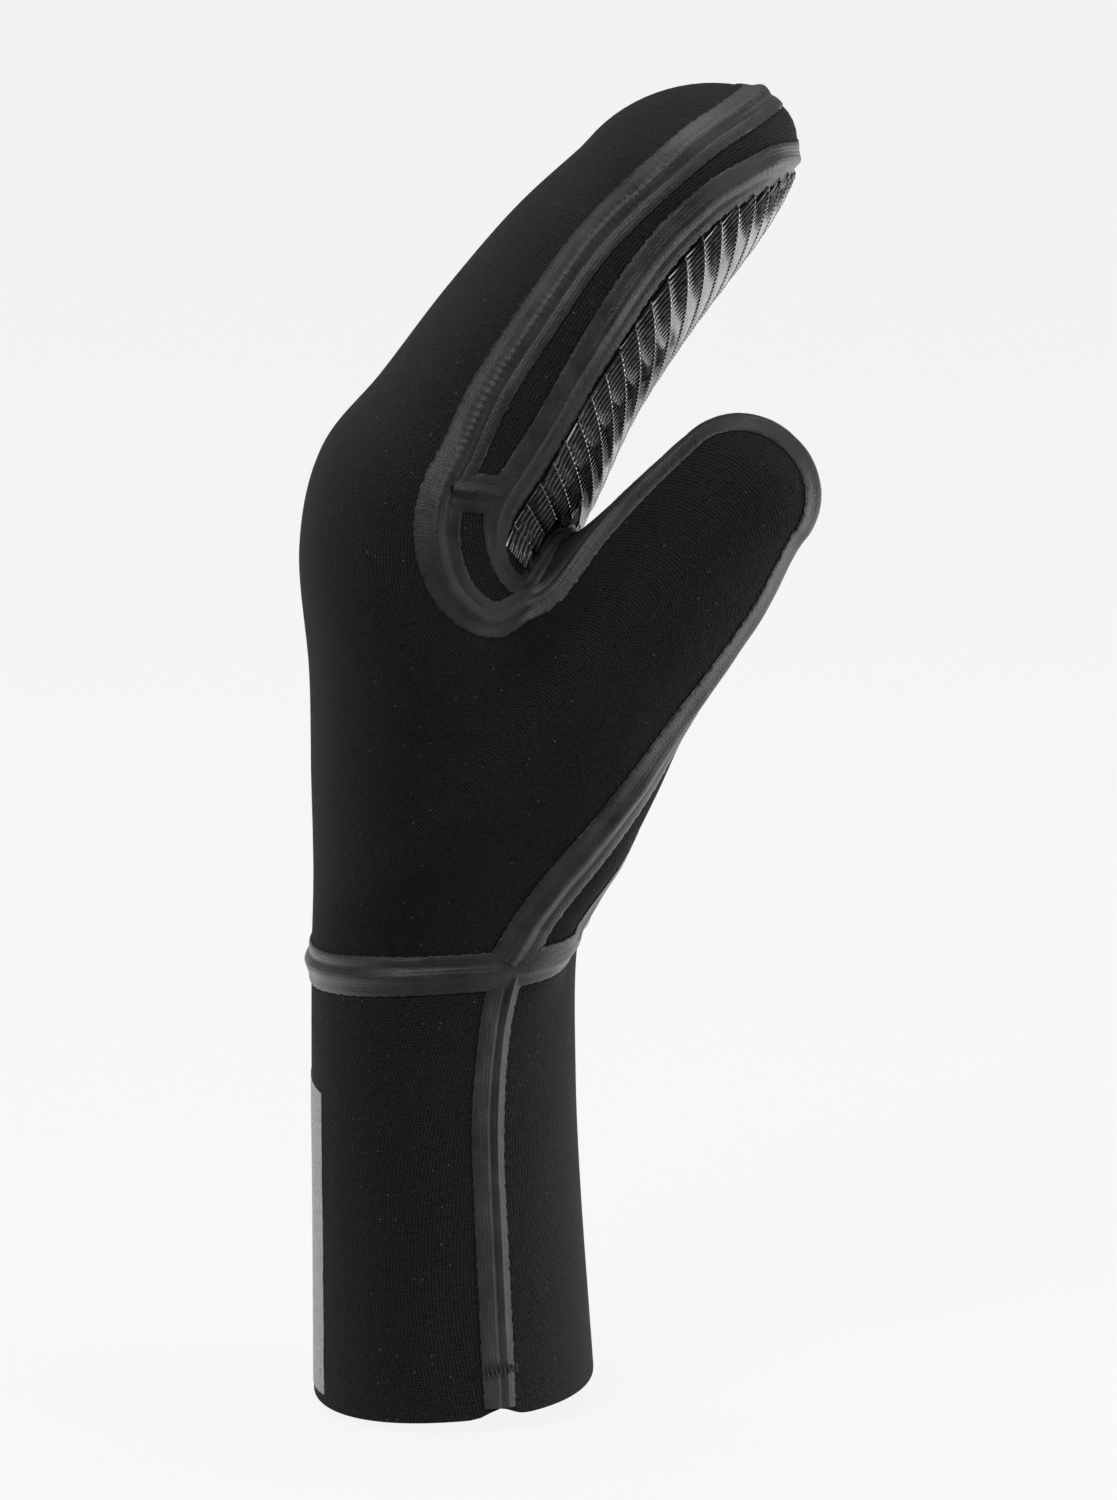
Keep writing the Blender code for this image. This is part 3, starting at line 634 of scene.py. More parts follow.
# Moulded rubber over knit: a satin skin whose grain follows the stitches under it
def tapeMaterial(name, look):
    made, tree, shader, coords = newMaterial(name, look["finish"])
    height = knitHeight(tree, knitLook["wale"], knitLook["course"])
    cloud = noise(coords, look["cloud"], 5, 0.62)
    grain = noise(coords, look["grain"])
    colour = ramp(cloud, [(0.30, look["dark"]), (0.72, look["light"])])
    low, high = look["roughness"]
    tree.links.new(scaled(cloud, high - low, low), shader.inputs["Roughness"])
    rough = scaled(cloud, 2.0, scaled(height, 0.35, grain))
    finished(shader, colour, rough, 0.60, look["relief"])
    return made


# Bands have their pitch up the hand and their slope over b, and ribs their own pitch along b. The
# margin is the strip left bare along the seams.
grip = {
    "mapStep": 0.003, "mapRefine": 8, "reach": 0.063, "pitch": 0.00585, "slope": 0.63,
    "ribPitch": 0.00145, "ribSteps": 6, "height": 0.00095, "ribDepth": 0.00058, "base": 0.00012,
    "bead": 0.00010, "lift": 0.00006, "margin": 0.0048, "pinched": 0.55, "topHeight": 0.2665,
    "bottomHeight": 0.1130, "endRound": 0.0016, "trialStep": 0.0008, "mapStations": (3.3, 12.92),
    "broadest": 7.0, "overrun": 0.045, "mapEdge": 0.002, "fewest": 4,
}
# The pale crest and edge colours below, with their reaches and climbs, are painted highlights: streaks
# on the rib crests and a line along each band's upper edge
gripLook = {
    "dark": (0.0022, 0.0022, 0.0023), "light": (0.0070, 0.0066, 0.0062), "cloud": 500,
    "ribHighlight": (0.32, 0.315, 0.31), "ribHighlightReach": (0.051, 0.044), "ribHighlightClimb": (0.10, 0.62),
    "edge": (0.150, 0.118, 0.090), "edgeHighlightClimb": (0.88, 0.93), "relief": 0.0001,
    "finish": {"Specular IOR Level": 0.90},
}


# Glossy rubber with painted highlights: pale colour painted on each band's upper edge, where v of the
# print's own map nears 1, and on the crests of the ribs, which follow u as (0.5 - 0.5 cos)^2.4, away
# from the seams
def gripMaterial(name, look):
    made, tree, shader, coords = newMaterial(name, look["finish"])
    cloud = noise(coords, look["cloud"], 3)
    colour = ramp(cloud, [(0.35, look["dark"]), (0.75, look["light"])])
    u, v = clothPlace(tree)
    turn = times(u, 2 * np.pi / grip["ribPitch"])
    ribHighlight = scaled(maths("COSINE", turn), -0.5, 0.5)
    ribHighlight = maths("POWER", ribHighlight, 2.4)
    central = ranged(maths("ABSOLUTE", u), *look["ribHighlightReach"])
    climb = ranged(v, *look["ribHighlightClimb"])
    patchy = scaled(cloud, 2.2, -0.45)
    # Painted highlight: pale streaks on the rib crests, stronger towards each band's upper edge and
    # patchy with the cloud
    paintedStreak = times(times(ribHighlight, central), times(climb, patchy))
    paintedStreak = maths("MINIMUM", maths("MAXIMUM", paintedStreak, 0.0), 1.0)
    colour = blended(paintedStreak, colour, look["ribHighlight"])
    # Painted highlight: a pale brown line along each band's upper bead edge, where v nears 1, patchy
    # with the cloud
    edgeHighlight = times(ranged(v, *look["edgeHighlightClimb"]), scaled(cloud, 1.4, -0.15))
    colour = blended(edgeHighlight, colour, look["edge"])
    tree.links.new(scaled(cloud, 0.16, 0.06), shader.inputs["Roughness"])
    finished(shader, colour, cloud, 0.25, look["relief"])
    return made


barLook = {
    "wale": 0.00058, "course": 0.00048, "grain": 1500, "relief": 0.0002,
    "finish": {"Roughness": 0.62, "Metallic": 0.15},
    "stops": [(0.42, (0.030, 0.029, 0.028)), (0.60, (0.34, 0.335, 0.33)), (0.80, (0.74, 0.73, 0.71))],
}


# Silver print that sits on the tops of the stitches, with the black knit between them
def barMaterial(name, look):
    made, tree, shader, coords = newMaterial(name, look["finish"])
    height = knitHeight(tree, look["wale"], look["course"])
    grain = noise(coords, look["grain"], 3)
    cover = scaled(grain, 0.75, times(height, 0.55))
    finished(shader, ramp(cover, look["stops"]), cover, 0.7, look["relief"])
    return made


foamLook = {
    "kind": "ShaderNodeTexVoronoi", "scale": 3600, "relief": 0.0002, "finish": {"Roughness": 0.8},
    "stops": [(0.1, (0.010, 0.010, 0.010)), (0.6, (0.028, 0.028, 0.029))],
}
threadLook = {
    "kind": "ShaderNodeTexNoise", "scale": 4200, "relief": 0.0001, "finish": {"Roughness": 0.6},
    "stops": [(0.3, (0.0015, 0.0015, 0.0016)), (0.8, (0.010, 0.010, 0.011))],
}


# One pattern, foam cells or fibres, that gives both the colour and the relief
def patternMaterial(name, look):
    made, tree, shader, coords = newMaterial(name, look["finish"])
    pattern = node(tree, look["kind"], {"Vector": coords, "Scale": look["scale"]}).outputs[0]
    finished(shader, ramp(pattern, look["stops"]), pattern, 0.6, look["relief"])
    return made


knit = knitMaterial("blackKnit", knitLook)
lining = knitMaterial("liningKnit", liningLook)
foam = patternMaterial("foamCore", foamLook)
tapeRubber = tapeMaterial("tapeRubber", tapeLook)
gripRubber = gripMaterial("gripRubber", gripLook)
silverPrint = barMaterial("silverPrint", barLook)
blackThread = patternMaterial("blackThread", threadLook)
print("materials ready")

walls = {"hand": 0.0050, "cuff": 0.0040}
littleShares = {"little": levels(littleReach, laying["refine"])}
back = laySeam(backSeam, stretchCells, littleShares)
palm = laySeam(palmSeam, stretchCells, littleShares)
ring = laySeam(wristRing, ringCells)
cross = laySeam(crossSeam, {"gusset": 2})["gusset"]
cuffLine = laySeam(cuffSeam, {"cuff": 8})["cuff"]


# The outer face less the wall's thickness along the form's normals gives the lining's face
def panelPiece(name, outer, wall, cadNode):
    inner = outer - wall * formNormals(outer)
    piece = wallPiece(name, outer, inner, (knit, foam, lining))
    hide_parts(cadNode)


aroundFingers = ("little", "tip", "fore")
aroundThumb = ("crotch", "thumbTop", "thumbTip", "thumbHeel")
refine = laying["refine"]


# Some or all stretches of a seam as one line
def seamRun(seam, names=None):
    return joined([seam[name] for name in names or seam])


# The back or the palm, laid over two lines up the hand and a third one beside the thumb's seam. The
# first line's cells lie halfway between those of the two sides.
def faceGrid(seam, reach, bottom, outerLine, innerLine):
    side = seamRun(seam, ("fore", *aroundThumb))[::-1]
    shares = levels(reach)
    outer = handLine(*outerLine, (levels(littleReach) + shares) / 2)
    inner = handLine(*innerLine, shares)
    coarse = side[::refine]
    beside = layOn(coarse + laying["beside"] * inward(coarse, inner))
    return sheetGrid(seam["little"], side, bottom, seam["tip"], [outer, inner, beside])


backGrid = faceGrid(back, backReach, ring["back"][::-1], (3.0, 12.99, 0), (3.06, 12.93, 52))
palmGrid = faceGrid(palm, palmReach, ring["palm"], (3.33, 12.75, -140), (3.39, 12.77, -168))
gussetGrid = sheetGrid(seamRun(back, aroundFingers), seamRun(palm, aroundFingers),
                       ring["little"], cross)
panelPiece("backPanel", pulledIn(backGrid), walls["hand"], "back_panel")
panelPiece("palmPanel", pulledIn(palmGrid), walls["hand"], "palm_panel")
panelPiece("fingerGusset", pulledIn(gussetGrid), walls["hand"], "finger_gusset")

backThumb, palmThumb = seamRun(back, aroundThumb), seamRun(palm, aroundThumb)
left, right = backThumb[::refine], palmThumb[::refine]
apart = np.linalg.norm(right - left, axis=1, keepdims=True)
behind = layOn((left + right) / 2 + laying["bow"] * apart * np.array([0.0, 1.0, 0.0]))
crossFine = spread(cross, np.linspace(0, 1, ringCells["thumbSide"] * refine + 1))
thumbGrid = sheetGrid(backThumb, palmThumb, crossFine, ring["thumbSide"][::-1], [behind])
panelPiece("thumbPanel", pulledIn(thumbGrid), walls["hand"], "thumb_panel")

cuffLines = (
    (3.03, 60), (3.0, 20), (3.0, -20), (3.03, -60), (3.09, -96), (3.28, -135), (3.38, -165),
    (3.38, 165), (3.30, 140),
)
notch = {"depth": 0.0019, "width": 0.0036, "rise": 0.011}
sag = {"depth": 0.0018, "rise": 0.040}


# The hem at the cuff seam rises by depth * exp(-(d / width)^2), and hangs lower over the whole thumb
# side in proportion to -y. Both fade upwards with the height.
def notched(points, seamFoot):
    aside = np.linalg.norm((points - seamFoot)[..., :2], axis=-1)
    up = np.clip(points[..., 2] - seamFoot[2], 0, None)
    lift = notch["depth"] * np.exp(-(aside / notch["width"]) ** 2 - (up / notch["rise"]) ** 2)
    thumbSide = np.clip(-2 * points[..., 1] / sizes["cuffBreadth"], 0, 1)
    drop = sag["depth"] * thumbSide * np.exp(-(up / sag["rise"]) ** 2)
    return points + (lift - drop)[..., None] * np.array([0.0, 0.0, 1.0])


around = seamRun(ring)
seamAngle = cuffSeam["cuff"][-1][2]
turn = np.linspace(seamAngle, seamAngle - 360, 4 * len(around))
ringLengths = lengthsOf(around)
hem = spread(loftPoint(lofts["hand"], 0 * turn, turn), ringLengths / ringLengths[-1])
hem[0] = hem[-1] = cuffLine[-1]
seamShares = lengthsOf(cuffLine[::refine])
seamShares = seamShares / seamShares[-1]
cuffGrid = sheetGrid(cuffLine, cuffLine, around, hem,
                     [handLine(top, 0, angle, seamShares) for top, angle in cuffLines])
panelPiece("cuffPanel", notched(pulledIn(cuffGrid), cuffLine[-1]), walls["cuff"], "cuff")
print("panels ready")

# The flange's thickness at its edge, the steps of the grid, the wander of the edges, and where up the
# hand the ripples begin and how far they take to grow
tapes = {
    "lift": 0.00006, "edge": 0.00018, "rowStep": 0.0004, "coarseStep": 0.0020, "acrossCoarse": 8,
    "acrossRefine": 3, "ragged": 0.00021, "raggedPitch": 0.0011, "wanderPitch": 0.0062,
    "rippleFrom": 0.190, "rippleGrows": 0.02, "hiddenRipple": 0.4, "joint": 0.004,
    "endGap": 0.0012, "hemGap": 0.0004,
}
tapeColumns = ("width", "aside", "raised", "flange", "ridge", "ridgeAt", "ridgeWidth", "groove",
               "grooveAt", "ripple", "pitch")
tapeShapes = {name: dict(zip(tapeColumns, row)) for name, row in {
    "back": (0.0100, -0.0008, 0.00004, 0.00045, 0.00085, -0.02, 0.30, 0.00022, 0.42, 0.13, 0.0017),
    "palm": (0.0088, 0.0002, 0.0, 0.00042, 0.00060, -0.10, 0.30, 0.00020, 0.38, 0.05, 0.0021),
    "wrist": (0.0088, 0.0, 0.00010, 0.00050, 0.00080, 0.05, 0.34, 0.00022, -0.46, 0.05, 0.0026),
    "cuff": (0.0074, 0.0, 0.0, 0.00050, 0.00045, 0.46, 0.20, 0.00036, 0.14, 0.05, 0.0024),
    "cross": (0.0086, 0.0, 0.0, 0.00045, 0.00055, 0.10, 0.26, 0.00015, -0.36, 0.05, 0.0022),
}.items()}


# Height over the width t from -1 to 1 and the length s: a flange that rises within its edges as
# 1 - |t|^8, a rounded ridge with ripples along it, a groove beside it, and slow waves over all
def tapeHeight(shape, s, t, rippled):
    flange = (shape["flange"] - tapes["edge"]) * (1 - np.abs(t) ** 8)
    swell = 1 + 0.34 * waves(s / 0.0062, 0.0, shape["pitch"] * 1000)
    uneven = 0.5 + 0.5 * waves(s / 0.0047, 0.0, 6.0)
    phase = 2 * np.pi * s / shape["pitch"] + 1.2 * t + 1.5 * waves(s / 0.0029)
    ripple = 1 + rippled * shape["ripple"] * uneven * 1.6 * np.sin(phase)
    off = (t - shape["ridgeAt"]) / shape["ridgeWidth"]
    ridge = shape["ridge"] * swell * ripple * np.exp(-off ** 2)
    groove = shape["groove"] * np.exp(-((t - shape["grooveAt"]) / 0.10) ** 2)
    slow = 0.00010 * waves(s / 0.0026, 1.6 * t, 4.0) * (1 - np.abs(t) ** 4)
    return tapes["edge"] + flange + ridge - groove + slow


# Where a tape is pinched: by the crease of the thumb's crotch, and at the turn of the back seam under
# it. The pinch is exp(-(distance / reach)^4), and takes shares off the tape's width and height.
pinches = {
    "palm": {"at": palm["thumbTop"].mean(axis=0), "reach": 0.016, "narrow": 0.50, "flat": 0.70},
    "back": {"at": back["crotch"][-1], "reach": 0.020, "narrow": 0.26, "flat": 0.10},
}


def pinchOf(points, pinch):
    return np.exp(-(np.linalg.norm(points - pinch["at"], axis=-1) / pinch["reach"]) ** 4)


# How strongly a tape ripples: fully on the fingers' thumb side, less on the hidden side, and not at all
# on the thumb
def rippleShare(middle):
    onFingers = np.clip((middle[:, 2] - tapes["rippleFrom"]) / tapes["rippleGrows"], 0, 1)
    side = np.where(middle[:, 1] < 0, 1.0, tapes["hiddenRipple"])
    offThumb = loftDistance(lofts["hand"], middle) < loftDistance(lofts["thumb"], middle)
    return (side * onFingers * offThumb)[:, None]


# A grid on the form to both sides of a line, and its normals
def tapeStrip(line, shape, closed, pinch):
    coarseRows = max(int(round(lengthsOf(line)[-1] / tapes["coarseStep"])), 3)
    finer = int(round(tapes["coarseStep"] / tapes["rowStep"])), tapes["acrossRefine"]
    middle = layOn(spread(line, np.linspace(0, 1, coarseRows + 1)), rounds=2)
    ahead = np.gradient(middle, axis=0)
    if closed:
        middle[-1] = middle[0]
        ahead = np.roll(middle[:-1], -1, axis=0) - np.roll(middle[:-1], 1, axis=0)
        ahead = np.concatenate([ahead, ahead[:1]])
    aside = unit(np.cross(formNormals(middle), ahead))
    half = np.full((len(middle), 1, 1), shape["width"] / 2)
    if pinch:
        half = half * (1 - pinch["narrow"] * pinchOf(middle, pinch))[:, None, None]
    share = np.linspace(-1, 1, tapes["acrossCoarse"] + 1)
    reach = shape["aside"] + share[None, :, None] * half
    strip = layOn(middle[:, None] + reach * aside[:, None])
    normals = formNormals(strip)
    return finerGrid(strip, *finer), unit(finerGrid(normals, *finer))


# A tape laid along a seam: t runs across it from -1 to 1 and s along it. Its edges wander by slow
# waves, and where it closes on itself these and the ripples fade out.
def tapePiece(name, line, shape, cadNode, closed=False, pinch=None):
    strip, normals = tapeStrip(line, shape, closed, pinch)
    length = lengthsOf(line)[-1]
    t = np.linspace(-1, 1, strip.shape[1])[None, :]
    s = np.linspace(0, length, strip.shape[0])[:, None]
    edge = np.sign(t)
    ragged = tapes["ragged"] * waves(3.1 * s / tapes["raggedPitch"], edge * 2.0, shape["width"] * 900)
    ragged = ragged + 0.5 * tapes["ragged"] * waves(s / tapes["wanderPitch"], edge * 3.0, 2.0)
    ease = np.clip(np.minimum(s, length - s) / tapes["joint"], 0, 1) if closed else 1.0
    sideways = unit(strip[:, -1:] - strip[:, :1])
    strip = strip + sideways * (ragged * ease * edge * np.abs(t) ** 6)[..., None]
    middle = strip[:, strip.shape[1] // 2]
    height = tapeHeight(shape, s, t, rippleShare(middle))
    if closed:
        height = height * ease + tapeHeight(shape, 0 * s, t, 0.0) * (1 - ease)
    if pinch:
        height = height * (1 - pinch["flat"] * pinchOf(middle, pinch))[:, None]
    top = strip + (tapes["lift"] + shape["raised"] + height)[..., None] * normals
    under = (strip + tapes["lift"] * normals)[:, ::-4]
    rings = np.concatenate([top, under], axis=1)[:len(strip) - closed]
    faces, caps = sweepParts(rings, closed)
    uv = np.stack(np.broadcast_arrays(t * shape["width"] / 2, s), axis=-1)
    uv = np.concatenate([uv, uv[:, ::-4]], axis=1)[:len(rings)].reshape(-1, 2)
    piece = makePiece(name, rings.reshape(-1, 3), faces, caps, uv, materials=[tapeRubber], sharp=70)
    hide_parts(cadNode)


# A line less a length at its start and at its end
def cutShort(line, start=tapes["endGap"], end=tapes["endGap"]):
    length = lengthsOf(line)[-1]
    return spread(line, np.linspace(start / length, 1 - end / length, len(line)))


cuffPath = cutShort(notched(cuffLine, cuffLine[-1]), end=tapes["hemGap"])
palmPath, backPath = cutShort(seamRun(palm)), cutShort(seamRun(back))
tapePiece("crossSeamTape", cutShort(cross), tapeShapes["cross"], "cross_seam_tape")
tapePiece("cuffSeamTape", cuffPath, tapeShapes["cuff"], "cuff_seam_tape")
tapePiece("palmSeamTape", palmPath, tapeShapes["palm"], "palm_seam_tape", pinch=pinches["palm"])
tapePiece("backSeamTape", backPath, tapeShapes["back"], "back_seam_tape", pinch=pinches["back"])
tapePiece("wristTape", around, tapeShapes["wrist"], "wrist_tape", closed=True)
print("tapes ready")

# Where the rows of points lie across a band of the print, closer together at its crisp edge
profile = np.array([0.015, 0.14, 0.34, 0.56, 0.76, 0.86, 0.91, 0.95, 0.985])


# The palm unrolled: a runs up the hand's middle line and b round it from the middle of the palm, as
# lengths. Each place is laid on the form, with its normal.
def unrolledPalm():
    hand, refine = lofts["hand"], grip["mapRefine"]
    stations = np.linspace(*grip["mapStations"], 400)
    tilt = handRows[-1][2]
    past = np.clip(stations - hand["last"], 0, 1)[:, None]
    ahead = np.array([[np.sin(tilt), np.cos(tilt)]])
    centre = sectionAt(hand, stations)[:2].T + past * hand["tip"] * ahead
    run = lengthsOf(centre)
    angles = np.linspace(180, 60, 240)
    arc = lengthsOf(loftPoint(hand, 0 * angles + grip["broadest"], angles))
    a = np.arange(0, run[-1], grip["mapStep"])
    b = np.arange(-grip["reach"], grip["reach"] + 1e-6, grip["mapStep"])
    station = np.interp(a, run, stations)[:, None]
    angle = 180 - np.sign(b) * (180 - np.interp(np.abs(b), arc, angles))[None, :]
    places = layOn(loftPoint(hand, station + 0 * angle, angle + 0 * station))
    normals = formNormals(places)
    return finerGrid(places, refine, refine), unit(finerGrid(normals, refine, refine)), a[-1]


palmPlaces, palmNormals, palmRun = unrolledPalm()


# A field of the unrolled palm at a and b, by straight lines between its points
def onPalm(field, a, b):
    step = grip["mapStep"] / grip["mapRefine"]
    row = np.clip(a / step, 0, field.shape[0] - 1.001)
    col = np.clip((b + grip["reach"]) / step, 0, field.shape[1] - 1.001)
    r, c = row.astype(int), col.astype(int)
    fr, fc = (row - r)[..., None], (col - c)[..., None]
    low = field[r, c] * (1 - fc) + field[r, c + 1] * fc
    high = field[r + 1, c] * (1 - fc) + field[r + 1, c + 1] * fc
    return low * (1 - fr) + high * fr


# Distance to the nearest of the other points, taken a few at a time to spare memory
def nearest(points, others):
    found = np.full(len(points), np.inf)
    for chunk in np.array_split(others, 40):
        gap = ((points[:, None] - chunk[None]) ** 2).sum(axis=2)
        found = np.minimum(found, gap.min(axis=1))
    return np.sqrt(found)


# One band of the print over b. Across it, c from 0 to 1, the height climbs as 0.25 + 0.65 sin(pi c / 2)
# to a round bead, exp(-((c - 0.925) / 0.036)^2), at its upper edge. Between the bead and the foot, ribs
# that run up the hand lower it by their depth * (0.5 + 0.5 cos(2 pi b / pitch)).
def bandRings(start, b, ends):
    c = profile[None, :]
    a = start + (c - 0.5) * grip["pitch"] + b[:, None] * grip["slope"]
    rib = 0.5 - 0.5 * np.cos(2 * np.pi * b[:, None] / grip["ribPitch"])
    climb = 0.25 + 0.65 * np.sin(0.5 * np.pi * c)
    bead = np.exp(-((c - 0.925) / 0.036) ** 2)
    end = np.clip(np.minimum(b - ends[0], ends[1] - b) / grip["endRound"], 0.05, 1)[:, None]
    end = np.sqrt(1 - (1 - end) ** 2)
    ribbed = climb * (grip["height"] - grip["ribDepth"] * (1 - rib))
    height = grip["base"] + end * (ribbed * (1 - bead) + (grip["height"] + grip["bead"]) * bead)
    spots = onPalm(palmPlaces, a, b[:, None] + 0 * c)
    normals = unit(onPalm(palmNormals, a, b[:, None] + 0 * c))
    top = spots + (grip["lift"] + height)[..., None] * normals
    under = (spots + grip["lift"] * normals)[:, [-1, 3, 0]]
    return np.concatenate([top, under], axis=1)


palmSide = seamRun(palm, ("fore", *aroundThumb))[::-1]
rim = np.concatenate([palm["little"], palmSide, palm["tip"], ring["palm"]])[::2]
inside = palmGrid[::2, ::2].reshape(-1, 3)
bandStarts = np.arange(-grip["overrun"], palmRun + grip["overrun"], grip["pitch"])
trial = np.arange(-grip["reach"] + 0.001, grip["reach"] - 0.001, grip["trialStep"])
gripBands = []
for start in bandStarts:
    a = start + trial * grip["slope"]
    spots = onPalm(palmPlaces, a, trial)
    kept = (a > grip["mapEdge"]) & (a < palmRun - grip["mapEdge"])
    kept &= (spots[:, 2] < grip["topHeight"]) & (spots[:, 2] > grip["bottomHeight"])
    if not kept.any():
        continue
    margin = grip["margin"] * (1 - grip["pinched"] * pinchOf(spots, pinches["palm"]))
    kept &= (nearest(spots, rim) > margin) & (nearest(spots, inside) < 0.95 * margin)
    marks = np.flatnonzero(np.diff(np.concatenate([[0], kept.astype(int), [0]])))
    runs = [(trial[first], trial[last - 1]) for first, last in marks.reshape(-1, 2)
            if last - first > grip["fewest"]]
    gripBands += [(start, first, last) for first, last in runs]

for name, fingers in (("gripPrintFingers", True), ("gripPrintPalm", False)):
    points, maps, faces, caps, count = [], [], [], [], 0
    for start, first, last in gripBands:
        if (start > 0.5 * palmRun) != fingers:
            continue
        step = grip["ribPitch"] / grip["ribSteps"]
        b = np.arange(np.ceil(first / step), np.floor(last / step) + 1) * step
        rings = bandRings(start, b, (first, last))
        across = np.concatenate([profile, 0 * profile[:3]])
        maps.append(np.stack(np.broadcast_arrays(b[:, None], across[None, :]), axis=-1).reshape(-1, 2))
        bandFaces, bandCaps = sweepParts(rings, start=count)
        points.append(rings.reshape(-1, 3))
        faces.append(bandFaces)
        caps += bandCaps
        count += rings.shape[0] * rings.shape[1]
    piece = makePiece(name, np.concatenate(points), np.concatenate(faces), caps,
                      uv=np.concatenate(maps), materials=[gripRubber], sharp=35)
    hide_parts("grip_print")
    print(name, len(faces), "bands")

# Stations and angles of the bar on the cuff's back, with a top that slants up to the thumb side
bar = {"low": 0.04, "high": 2.05, "halfAngle": 26.5, "slant": 0.07, "lift": 0.00005,
       "thickness": 0.00012, "cells": (60, 40)}
up = np.linspace(0, 1, bar["cells"][0] + 1)[:, None]
over = np.linspace(-1, 1, bar["cells"][1] + 1)[None, :]
high = bar["high"] + bar["slant"] * (1 - over)
stations = bar["low"] + up * (high - bar["low"])
places = layOn(loftPoint(lofts["hand"], stations, bar["halfAngle"] * over + 0 * up), rounds=3)
normals = formNormals(places)
piece = wallPiece("cuffBar", places + (bar["lift"] + bar["thickness"]) * normals,
                  places + bar["lift"] * normals, (silverPrint, silverPrint, silverPrint))
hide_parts("cuff_bar")

tack = {"length": 0.0078, "height": 0.0019, "rise": 0.0086, "strokes": 17, "radius": 0.00021,
        "lift": 0.00125, "weave": 0.00016, "turn": 0.16}


# Thread that zigzags across the tape: a sideways run with a triangle wave up and down, wrapped in a
# circle of the thread's radius
def tackPiece():
    foot = spread(cuffLine[::-1], np.array([tack["rise"] / sizes["cuffHeight"]]))
    foot = layOn(foot + np.array([[-0.004, 0, 0], [0, 0, 0], [0.004, 0, 0]]))
    aside = unit(foot[2] - foot[0])
    up = np.array([0.0, 0.0, 1.0])
    s = np.linspace(0, tack["strokes"], tack["strokes"] * 8 + 1)
    zig = 2 * np.abs(s - 2 * np.floor(s / 2) - 1) - 1
    zig = np.sign(zig) * (1 - (1 - np.abs(zig)) ** 1.4)
    wobble = 0.12 * np.sin(2.7 * s) + 0.10 * np.sin(1.1 * s + 1)
    run = (s / tack["strokes"] - 0.5) * tack["length"]
    rise = (zig * (1 + wobble)) * tack["height"] / 2 + tack["turn"] * run
    path = layOn(foot[1] + run[:, None] * aside + rise[:, None] * up)
    normals = formNormals(path)
    path = path + (tack["lift"] + tack["weave"] * np.sin(np.pi * s + 0.6))[:, None] * normals
    ahead = unit(np.gradient(path, axis=0))
    out = unit(normals - (normals * ahead).sum(axis=1, keepdims=True) * ahead)
    third = np.cross(ahead, out)
    turns = np.linspace(0, 2 * np.pi, 9)[:-1]
    rings = path[:, None] + tack["radius"] * (np.cos(turns)[:, None] * out[:, None]
                                              + np.sin(turns)[:, None] * third[:, None])
    faces, caps = sweepParts(rings)
    return makePiece("hemBartack", rings.reshape(-1, 3), faces, caps, materials=[blackThread])


piece = tackPiece()
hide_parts("hem_bartack")
print("prints and thread ready")

# The floor is white to the camera. What the gloss mirrors of it is dark in front and bright behind.
studio = {
    "floorRadius": 14.0, "floorHeight": -0.0054, "floorSeen": 0.88, "floorGlow": (0.02, 2.0),
    "glowPlaces": (-0.16, 0.06), "white": 0.930, "worldShare": 0.26, "target": (0.0234, 0.0, 0.1392),
    "distance": 1.9, "elevation": 8.0, "focal": 207.3,
}
# Place, size and power of each light
lights = {
    "keySoftbox": ((-0.9, -1.5, 1.5), (1.2, 1.0), 38),
    "sideSoftbox": ((1.5, -0.4, 0.9), (0.6, 1.2), 7),
    "topSoftbox": ((0.1, 0.3, 1.8), (1.0, 1.0), 18),
    "rimSoftbox": ((1.25, 0.85, 0.22), (0.7, 0.45), 5),
    "lowSoftbox": ((0.31, -0.06, 0.01), (0.30, 0.24), 1.1),
}


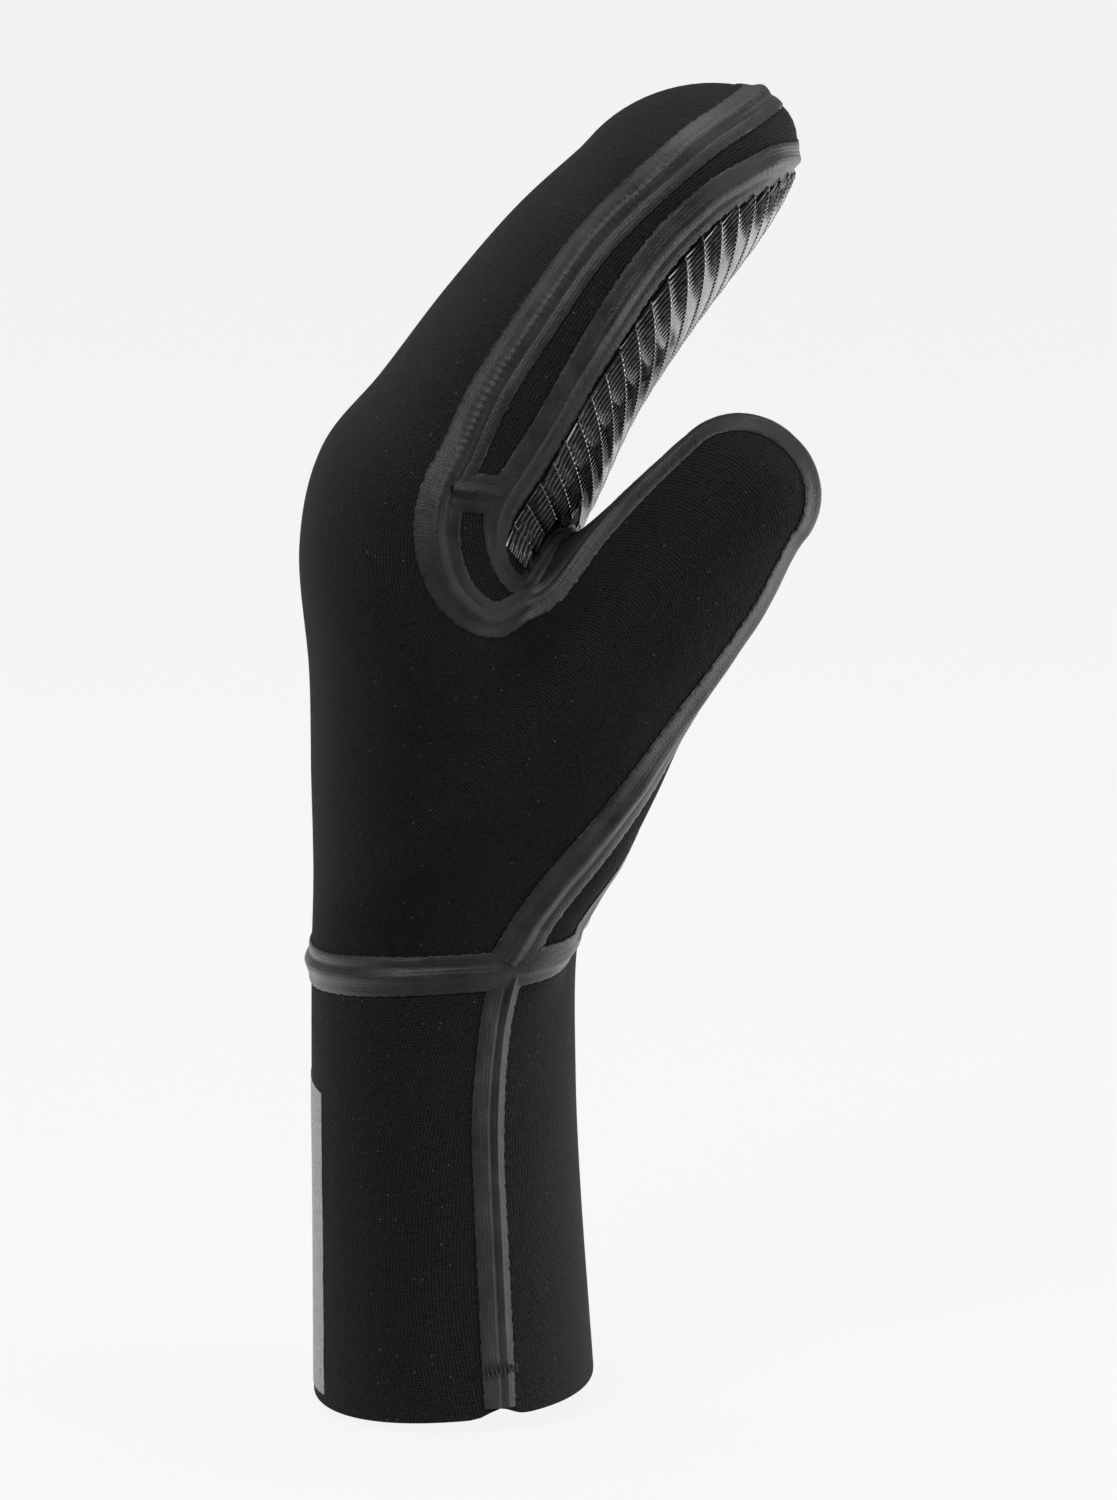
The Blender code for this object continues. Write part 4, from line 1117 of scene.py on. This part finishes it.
# A disc that gives its own light, so that it stays even and takes no shadow
def addFloor():
    turns = np.linspace(0, 2 * np.pi, 97)[:-1]
    points = studio["floorRadius"] * np.stack([np.cos(turns), np.sin(turns), 0 * turns], axis=1)
    points[:, 2] = studio["floorHeight"]
    mesh = bpy.data.meshes.new("floor")
    mesh.from_pydata(points.tolist(), [], [list(range(len(points)))])
    floor = bpy.data.objects.new("floor", mesh)
    bpy.context.scene.collection.objects.link(floor)
    made, tree, shader, coords = newMaterial("paleFloor", {
        "Base Color": (0.05, 0.05, 0.05, 1), "Roughness": 1.0, "Specular IOR Level": 0.0,
        "Emission Color": (1, 1, 1, 1),
    })
    place = node(tree, "ShaderNodeSeparateXYZ", {0: coords}).outputs[1]
    glow = ranged(place, *studio["glowPlaces"], *studio["floorGlow"])
    seen = node(tree, "ShaderNodeLightPath").outputs["Is Camera Ray"]
    strength = node(tree, "ShaderNodeMix", {0: seen, 2: glow, 3: studio["floorSeen"]})
    tree.links.new(strength.outputs[0], shader.inputs["Emission Strength"])
    mesh.materials.append(made)
    floor.visible_diffuse = False
    floor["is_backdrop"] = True


# World light: white behind the mitten and dimmer on the camera's side, so that the gloss has
# something dark and something bright to mirror
def addWorld():
    world = bpy.data.worlds.new("studio")
    bpy.context.scene.world = world
    world.use_nodes = True
    tree = world.node_tree
    sky = tree.nodes.new("ShaderNodeTexCoord").outputs["Generated"]
    way = node(tree, "ShaderNodeSeparateXYZ", {0: sky}).outputs[1]
    share = ranged(way, -0.35, 0.65, 0.35, 1.0)
    seen = node(tree, "ShaderNodeLightPath").outputs["Is Camera Ray"]
    strength = maths("MAXIMUM", times(share, studio["worldShare"]),
                     times(seen, studio["white"]))
    back = tree.nodes["Background"]
    back.inputs[0].default_value = (1, 1, 1, 1)
    tree.links.new(strength, back.inputs[1])


# An object at a place, turned so that it looks along a line
def addSeat(name, data, place, aim):
    seat = bpy.data.objects.new(name, data)
    bpy.context.scene.collection.objects.link(seat)
    seat.location = place
    seat.rotation_mode = "QUATERNION"
    seat.rotation_quaternion = Vector(aim).to_track_quat("-Z", "Y")
    return seat


def addLight(name, place, size, power):
    light = bpy.data.lights.new(name, "AREA")
    light.shape = "RECTANGLE"
    light.size, light.size_y = size
    light.energy = power
    addSeat(name, light, place, np.array(studio["target"]) - np.array(place))


# The camera stands off the target along a line that dips by its elevation
def addCamera():
    camera = bpy.data.cameras.new("camera")
    camera.lens = studio["focal"]
    camera.sensor_width = 36.0
    camera.clip_start, camera.clip_end = 0.05, 60
    dip = np.radians(studio["elevation"])
    aim = Vector((0.0, np.cos(dip), -np.sin(dip)))
    place = Vector(studio["target"]) - studio["distance"] * aim
    bpy.context.scene.camera = addSeat("camera", camera, place, aim)


addFloor()
addWorld()
for name, look in lights.items():
    addLight(name, *look)
addCamera()
bpy.context.scene.view_settings.view_transform = "Standard"
bpy.context.scene.view_settings.look = "None"

low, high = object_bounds()
